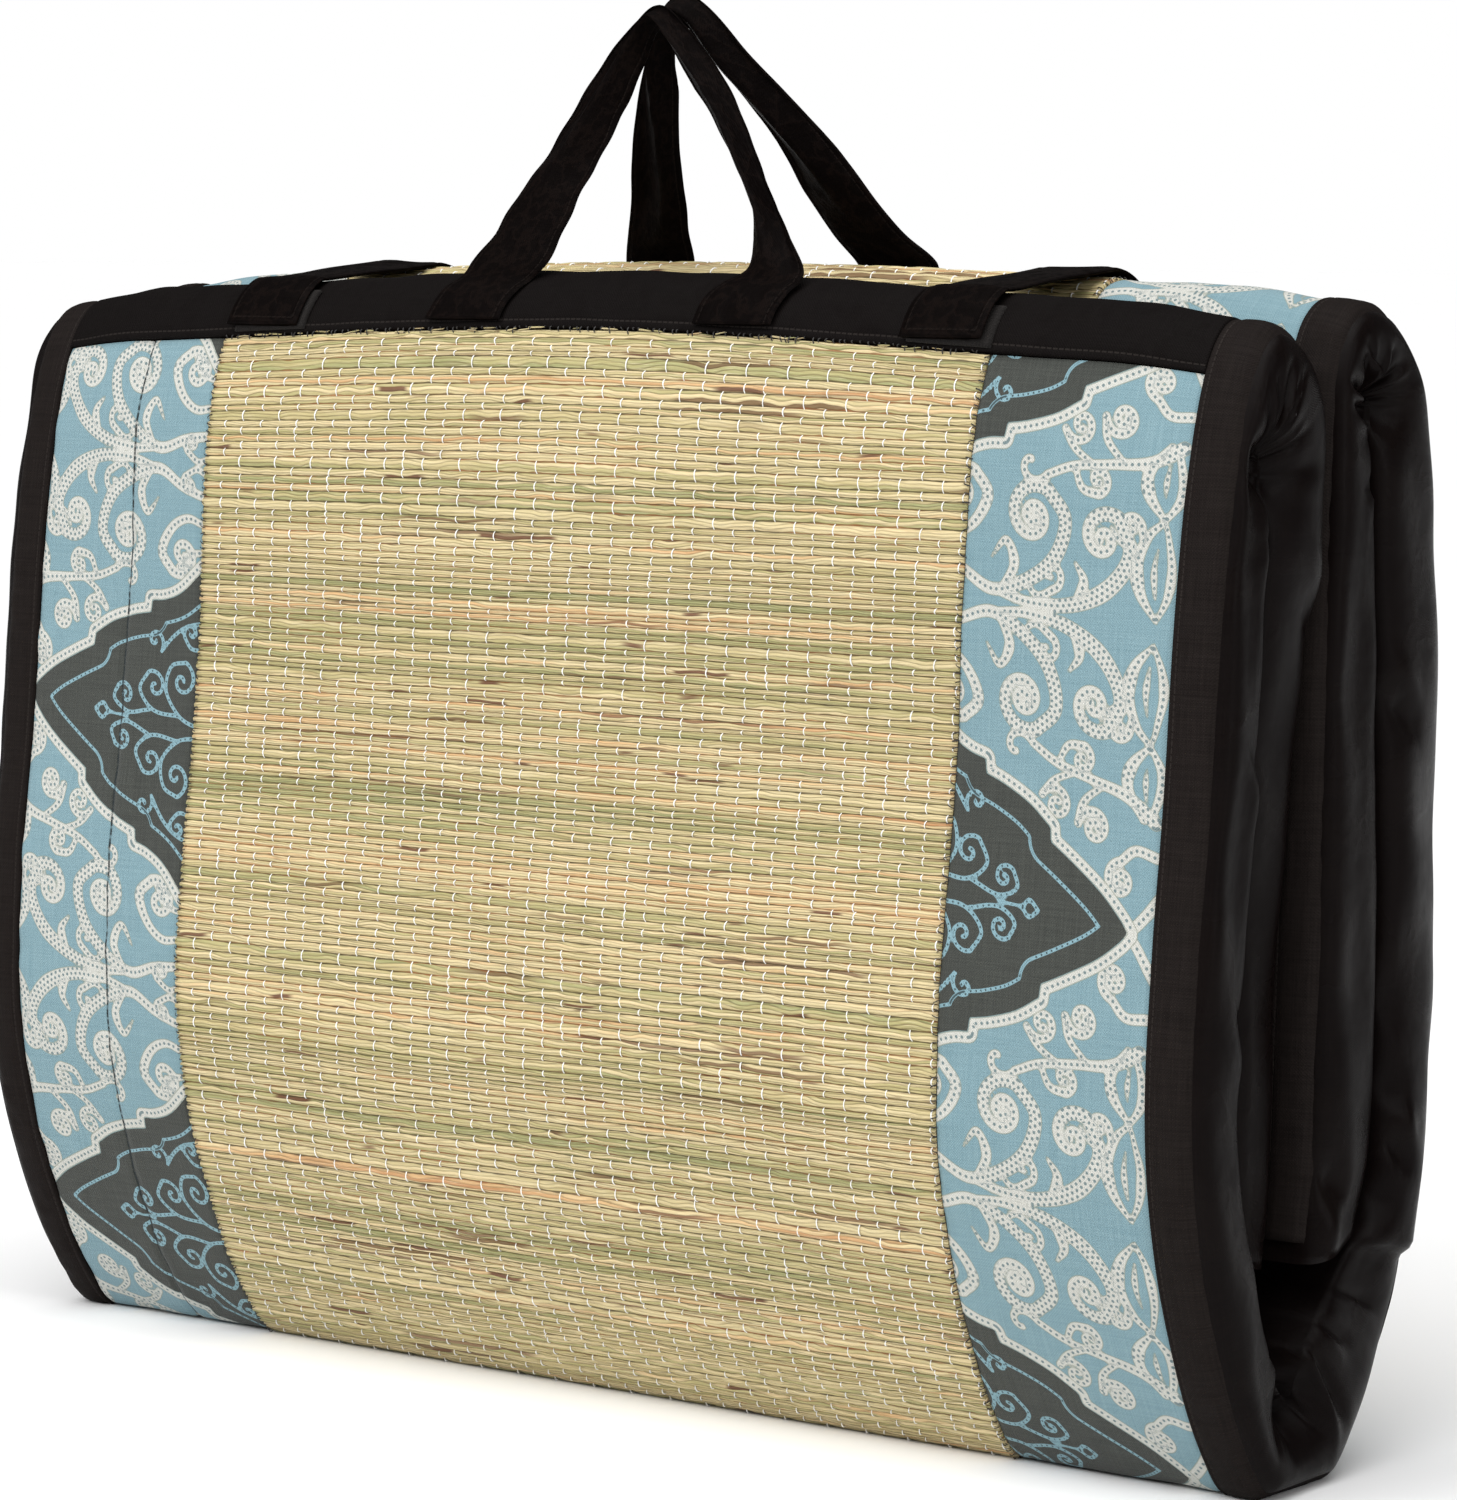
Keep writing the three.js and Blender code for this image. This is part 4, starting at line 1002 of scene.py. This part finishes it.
# Cut rush ends. Where the long panel goes under each band its last stems are cut short and frayed,
# and black overlock thread holds them, so a ragged line of straw shows beyond the band's edge.
def cut_ends(name, at_length, away, seed):
    dice = np.random.default_rng(seed)
    count = 45
    x = dice.uniform(-RUSH_HALF + 6, RUSH_HALF - 6, count)
    reach = dice.uniform(3, 9, count)
    turn = dice.choice([-1, 1], count) * dice.uniform(0.02, 0.3, count)
    thick = dice.uniform(0.4, 0.8, count)
    base = at_length + away * dice.uniform(0.2, 1.6, count)
    points, marks = [], []
    for i in range(count):
        for share, wide in ((0.0, 1.0), (0.5, 0.9), (0.85, 0.7), (1.0, 0.25)):
            mid_x = x[i] + (share - 0.5) * reach[i]
            mid_length = base[i] + (share - 0.5) * reach[i] * math.tan(turn[i]) * 0.5
            high = 2.3 + 0.9 * share * dice.uniform(0.2, 1.0)
            for angle in (0, 1, 2, 3):
                across = thick[i] * wide * math.cos(angle * math.pi / 2) / 2
                up = thick[i] * wide * math.sin(angle * math.pi / 2) / 2
                points.append((mid_length + across, mid_x, high + up))
                marks.append((mid_x, i * 1.37 + 0.3 * angle, 0))
    points = np.array(points)
    places = on_face(points[:, 0], points[:, 1], points[:, 2])
    one = np.concatenate([grid_faces(4, 4, around=True), [[3, 2, 1, 0]], [[12, 13, 14, 15]]])
    piece = mesh_piece(name, places, many_of(one, 16, count), straw, {"stems": np.array(marks)})


cut_ends("cut_rush_ends_front", BAND_LENGTHS["front"][1], 1, 301)
cut_ends("cut_rush_ends_back", BAND_LENGTHS["back"][0], -1, 302)


def edge_whips(name, at_length, away, seed):
    """Small black loops of overlock thread along the ragged line."""
    dice = np.random.default_rng(seed)
    x = np.arange(-RUSH_HALF + 2, RUSH_HALF - 2, 3.1)
    x = x + dice.uniform(-0.8, 0.8, x.size)
    reach = dice.uniform(0.6, 2.6, x.size)
    lean = dice.uniform(-1.0, 1.0, x.size)
    stations = np.array([0.0, 0.35, 0.7, 1.0])
    run = at_length + away * (reach[:, None] * stations[None, :] - 0.3)
    across = x[:, None] + lean[:, None] * stations[None, :]
    over = np.array([2.4, 3.0, 2.9, 2.1])
    three = np.array([-1.0, 0.0, 1.0]) * 0.3
    points = on_face(run[..., None] + 0 * three, across[..., None] + three,
                     over[None, :, None] + np.array([-0.15, 0.15, -0.15]))
    piece = mesh_piece(name, points, many_of(grid_faces(4, 3), 12, x.size), black_thread)


edge_whips("edge_whips_front", BAND_LENGTHS["front"][1], 1, 311)
edge_whips("edge_whips_back", BAND_LENGTHS["back"][0], -1, 312)


# Carrying handles. Each is a padded strap of doubled black cotton, stitched along both edges. Its
# ends lie flat on a cross band and are sewn down; from there it narrows and bunches into pleats
# until both handles meet above the folds, where a hand holds them together.
strap_cotton = stitched_cotton(
    "strap_cotton", specular=0.02, thread=0.5, crease_size=12.0, tones=("#040202", "#0b0706"),
    crease_share=0.3, stitch_tone="#2c2623", stitch_share=0.25, roughness=(0.62, 0.46),
    groove_width=1.3, thread_depth=0.0002, crease_strength=0.45)

STRAP_WIDTH = 37.0
STRAP_THICK = 2.4
STITCH_INSET = 2.8
ON_BAND = SHEET_GAP + BAND_THICK + SHEET_GAP
# Band rows and X of each sewn end, then X, Y, Z, width, thickness and how level the strap's width
# stays (1 where it is level, 0 at the hand hold) for the free legs.
HANDLES = {
    "front": ([10.4, 10.1, 9.8, 9.55], [-61, -59.5, -57, -53.5], [70, 71, 73, 76], [
        (-48.5, -38.5, 436, 37.5, 3, 1), (-42.5, -34, 447.5, 33.5, 3.5, 1),
        (-36.2, -29, 463.3, 31, 4, 0.95), (-31, -24, 476, 27, 4.5, 0.9),
        (-24.6, -19, 490.8, 23.5, 5, 0.8), (-17.7, -15, 505, 19.5, 5.5, 0.6),
        (-11.5, -12, 517, 14.5, 6, 0.35), (-5.5, -10, 526.5, 9, 6.5, 0.1), (-0.5, -9, 531, 7, 7, 0),
        (4.5, -9.5, 528.3, 8.5, 6.5, 0.1), (9.5, -11, 523.8, 10.8, 6.5, 0.35),
        (17.6, -12.5, 516, 13.5, 6.5, 0.6), (29.6, -15.5, 504, 15.5, 6, 0.8),
        (38, -17.5, 494.5, 14.5, 6, 0.9), (48.6, -21.5, 481.5, 13.4, 6, 0.95),
        (58.5, -25.5, 469, 12.4, 6, 1), (68, -30, 457.5, 13, 6, 1), (75, -34.5, 446.5, 18.5, 4.5, 1),
        (80, -38.5, 435.5, 27, 3, 1)]),
    "back": ([35.1, 35.6, 36.1, 36.6], [-50, -50, -49.5, -48.5], [70, 70, 70, 70], [
        (-46, 51.5, 437.5, 34.5, 3, 1), (-42.5, 45.5, 447.5, 30.5, 3.5, 1), (-38, 40, 460, 26.5, 4, 1),
        (-30.2, 28.5, 482.6, 22.5, 4.5, 0.95), (-23.5, 20, 501, 18, 5.5, 0.85),
        (-18.2, 14, 515.5, 14.3, 6, 0.6), (-13, 11, 526, 12.5, 6.5, 0.3),
        (-5.5, 9.5, 533.2, 11.5, 7, 0), (3.5, 9.8, 530, 13.5, 6.5, 0.3), (16.5, 14, 514, 17.6, 6, 0.7),
        (29.5, 20.5, 498, 20.4, 5.5, 0.85), (40.6, 28.5, 482, 23.5, 5, 0.95),
        (50.8, 38, 463.3, 30, 4, 1), (60.9, 46, 447.5, 34.5, 3.5, 1), (70.5, 51.5, 436.5, 37.5, 3, 1)]),
}


def sewn_spot(row, x, underside):
    """A place of the strap's middle line where it lies flat at a height above the pad's face."""
    place = on_face(length_at(row), x, underside + STRAP_THICK / 2) / MM
    return [*place, STRAP_WIDTH, STRAP_THICK, 1]


def handle_spots(rows, left_x, right_x, legs):
    """The strap's middle line, width, thickness and levelness, from one sewn end to the other."""
    left = [sewn_spot(row, x, ON_BAND) for row, x in zip(rows, left_x)]
    right = [sewn_spot(row, x, ON_BAND) for row, x in zip(rows, right_x)]
    return np.array(left + [list(leg) for leg in legs] + right[::-1], float)


def strap_section(across, bunch):
    """A strap's share of its thickness: full, rounded at its edges and pressed in at the stitches."""
    edge = (1 - np.abs(across) ** 6) ** 0.5
    quilted = 1 - 0.22 * near(np.abs(across), 0.84, 0.06) * (1 - bunch)
    return edge * quilted


def strap_piece(name, line, across, through, reach, lift, marks):
    """The strap's mesh from its middle line, its two directions and the distances along both."""
    points = line[:, None, :] + across[:, None, :] * reach[..., None]
    points = points + through[:, None, :] * lift[..., None]
    return mesh_piece(name, points * MM, tube_faces(*points.shape[:2], turned=True), strap_cotton, marks)


def unit(vectors):
    return vectors / np.linalg.norm(vectors, axis=1, keepdims=True)


def gathered_strap(name, spots, seed, steps=9):
    """A strap that is flat at its sewn ends and bunched into pleats between them."""
    place = np.linspace(0, len(spots) - 1, (len(spots) - 1) * steps + 1)
    line, way = smooth_line(spots[:, :3], place)
    width, thick, level = (np.interp(place, np.arange(len(spots)), spots[:, i]) for i in (3, 4, 5))
    free = unit(np.cross(np.array([0.0, 1.0, 0.0]), way))
    upwards = np.where(way[:, 2:] < 0, -1.0, 1.0)
    flat = np.concatenate([upwards, np.zeros((len(line), 2))], axis=1)
    across = unit(free * (1 - level[:, None]) + flat * level[:, None])
    through = unit(np.cross(way, across))
    run = run_along(line)
    bunch = np.clip((STRAP_WIDTH - width) / 24, 0, 1)[:, None]
    span = np.sin(np.linspace(-1, 1, 19) * math.pi / 2)
    both = np.concatenate([span, span[::-1]])
    facing = np.concatenate([np.ones(19), -np.ones(19)])
    share = strap_section(both[None, :], bunch)
    # Where the strap narrows its cloth is doubled lengthwise into sharp pleats that wander across it.
    ridge = 0.10 + 0.35 * wander(seed, run[:, None] / 110)
    turns = np.abs(np.mod((both[None, :] - ridge) * 1.15 + 1, 2) - 1)
    fold = ease(0.05, 0.5, bunch) * 2.9 * (turns ** 0.9 - 0.5)
    fold = fold + 0.08 * wander(seed + 1, run[:, None] / 16, both[None, :] / 0.8)
    half_thick = thick[:, None] / 2 * share * facing[None, :] * (1 - 0.65 * bunch)
    reach = width[:, None] / 2 * both[None, :]
    reach = reach * (1 + 0.035 * wander(seed + 2, run[:, None] / 17))
    lift = half_thick + thick[:, None] / 2 * fold
    full = both[None, :] * STRAP_WIDTH / 2
    from_edge = STRAP_WIDTH / 2 - np.abs(full)
    return strap_piece(name, line, across, through, reach, lift,
                       {"cloth": three(full, run[:, None]),
                        "stitching": three(from_edge - STITCH_INSET, run[:, None])})


for number, (label, spec) in enumerate(HANDLES.items()):
    spots = handle_spots(*spec)
    handle = gathered_strap(f"carrying_handle_{label}", spots, 91 + 3 * number)
    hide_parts(f"handle_{label}")


# Closing straps. Two flat doubled cotton straps are sewn on the back band and lie forward over
# both folds, where each front end lies on a fuzzy loop patch that is sewn on the front band.
STRAP_MIDDLES = {"left": -164.0, "right": 166.0}
PATCH_THICK = 1.2
ON_PATCH = ON_BAND + PATCH_THICK + SHEET_GAP
PATCH_LENGTHS = (length_at(9.65), length_at(10.46))

fuzzy_tape, m, shader = finish_named(
    "fuzzy_loop_tape", Roughness=0.95, Sheen_Weight=0.6, Sheen_Roughness=0.6,
    Sheen_Tint=tone("#4a4643"), Specular_IOR_Level=0.2)
m_fuzz = m.noise(m.mark("cloth"), 1.4, 4.0, 0.7)
m.put(shader.inputs["Base Color"], m.mix(m_fuzz, tone("#070606"), tone("#1b1817")))
m.put(shader.inputs["Normal"], m.bump(m_fuzz, 0.9, 0.0012))


def closing_strap(side):
    """The strap's middle line: over the back fold, straight across the valley, then the front fold."""
    middle = STRAP_MIDDLES[side]
    spots = [sewn_spot(row, middle, ON_BAND) for row in (35.1, 35.6, 36.1, 36.6, 37.1, 37.6, 38.2)]
    for row in (8.9, 9.3, 9.7, 10.05, 10.4):
        underside = ON_BAND + (ON_PATCH - ON_BAND) * float(ease(8.9, 9.5, row))
        spots.append(sewn_spot(row, middle, underside))
    return np.array(spots)


def flat_strap(name, spots, seed, steps=8):
    place = np.linspace(0, len(spots) - 1, (len(spots) - 1) * steps + 1)
    line, way = smooth_line(spots[:, :3], place)
    across = np.broadcast_to(np.array([1.0, 0.0, 0.0]), line.shape)
    through = np.cross(across, way)
    run = run_along(line)[:, None]
    span = np.sin(np.linspace(-1, 1, 17) * math.pi / 2)
    both = np.concatenate([span, span[::-1]])[None, :]
    facing = np.concatenate([np.ones(17), -np.ones(17)])[None, :]
    share = strap_section(both, 0.0)
    wave = 0.7 * wander(seed, run / 45, both / 1.6) * ease(6, 30, run)
    wave = wave * (1 - ease(run.max() - 26, run.max() - 6, run))
    lift = STRAP_THICK / 2 * share * facing + np.maximum(wave, -0.2)
    reach = STRAP_WIDTH / 2 * both * (1 - 0.02 * wander(seed + 1, run / 30))
    full = both * STRAP_WIDTH / 2
    from_edge = np.minimum(STRAP_WIDTH / 2 - np.abs(full), run.max() - run)
    return strap_piece(name, line, across, through, reach, lift,
                       {"cloth": three(full, run),
                        "stitching": three(from_edge - STITCH_INSET, run + full)})


for number, side in enumerate(("left", "right")):
    spots = closing_strap(side)
    strap = flat_strap(f"closing_strap_{side}", spots, 121 + 3 * number)
    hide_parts(f"strap_{side}")
    start, end = PATCH_LENGTHS
    patch_lengths = np.linspace(start, end, 14)
    patch_x = STRAP_MIDDLES[side] + 3 + np.linspace(-STRAP_WIDTH / 2, STRAP_WIDTH / 2, 28)

    def patch_top(run, at, number=number):
        return ON_BAND + PATCH_THICK + 0.12 * wander(131 + number, run / 2.1, at / 2.3)

    patch = rounded_sheet(f"fuzzy_patch_{side}", patch_lengths, patch_x, patch_top, PATCH_THICK, fuzzy_tape,
                          {"cloth": flat_place}, corner=0.6)
    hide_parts(f"loop_patch_{side}")


# Studio. The mat stands on a plain white floor. A broad sun from above and behind the camera lights
# floor and front evenly; soft lamps at both sides and above draw the cloth's folds and polish.
pale_floor = mottled("pale_floor", 3.0, "#f6f6f6", "#f9f9f9", Roughness=0.95, Specular_IOR_Level=0.05)
floor_mesh = bpy.data.meshes.new("studio_floor")
FLOOR_REACH = 30
corners = [(x * FLOOR_REACH, y * FLOOR_REACH, 0) for x, y in ((-1, -1), (1, -1), (1, 1), (-1, 1))]
floor_mesh.from_pydata(corners, [], [(0, 1, 2, 3)])
floor_mesh.materials.append(pale_floor)
floor = bpy.data.objects.new("studio_floor", floor_mesh)
bpy.context.scene.collection.objects.link(floor)

world = bpy.data.worlds.new("studio_world")
world.use_nodes = True
backdrop = Recipe(world.node_tree)
seen = backdrop.node("ShaderNodeLightPath").outputs["Is Camera Ray"]
background = world.node_tree.nodes["Background"]
background.inputs["Color"].default_value = (1.0, 1.0, 1.0, 1.0)
backdrop.put(background.inputs["Strength"], backdrop.between(seen, 0.0, 1.0, 0.12, 1.0))
bpy.context.scene.world = world


def turned_to(place, aim):
    """The rotation of a lamp or camera at a place that looks at its aim."""
    return (Vector(aim) - Vector(place)).to_track_quat("-Z", "Y").to_euler()


def lamp(name, kind, place, aim, strength, **settings):
    data = bpy.data.lights.new(name, kind)
    data.energy = strength
    for key, value in settings.items():
        setattr(data, key, value)
    made = bpy.data.objects.new(name, data)
    made.location = place
    made.rotation_euler = turned_to(place, aim)
    bpy.context.scene.collection.objects.link(made)


lamp("broad_sun", "SUN", (0.2, -1.5, 3.2), (0, 0, 0.2), 3.45, angle=math.radians(75))
lamp("lamp_left", "AREA", (-1.5, -2.6, 1.5), (0, 0, 0.2), 22, shape="RECTANGLE", size=1.0, size_y=1.2)
lamp("lamp_above", "AREA", (0.1, 0.3, 2.2), (0, 0, 0.3), 4, shape="RECTANGLE", size=1.6, size_y=1.2)
lamp("lamp_right", "AREA", (2.4, -0.7, 1.3), (0.25, 0, 0.2), 12, shape="RECTANGLE", size=0.25, size_y=0.8)

camera_data = bpy.data.cameras.new("camera")
camera_data.sensor_fit = "VERTICAL"
camera_data.sensor_height = 36.0
camera_data.lens = 131.19
camera_data.clip_end = 200
camera = bpy.data.objects.new("camera", camera_data)
camera.location = (1.3164, -1.6483, 0.4590)
camera.rotation_euler = turned_to(camera.location, (0.0115, 0.022, 0.2472))
bpy.context.scene.collection.objects.link(camera)
bpy.context.scene.camera = camera
bpy.context.scene.view_settings.view_transform = "Standard"
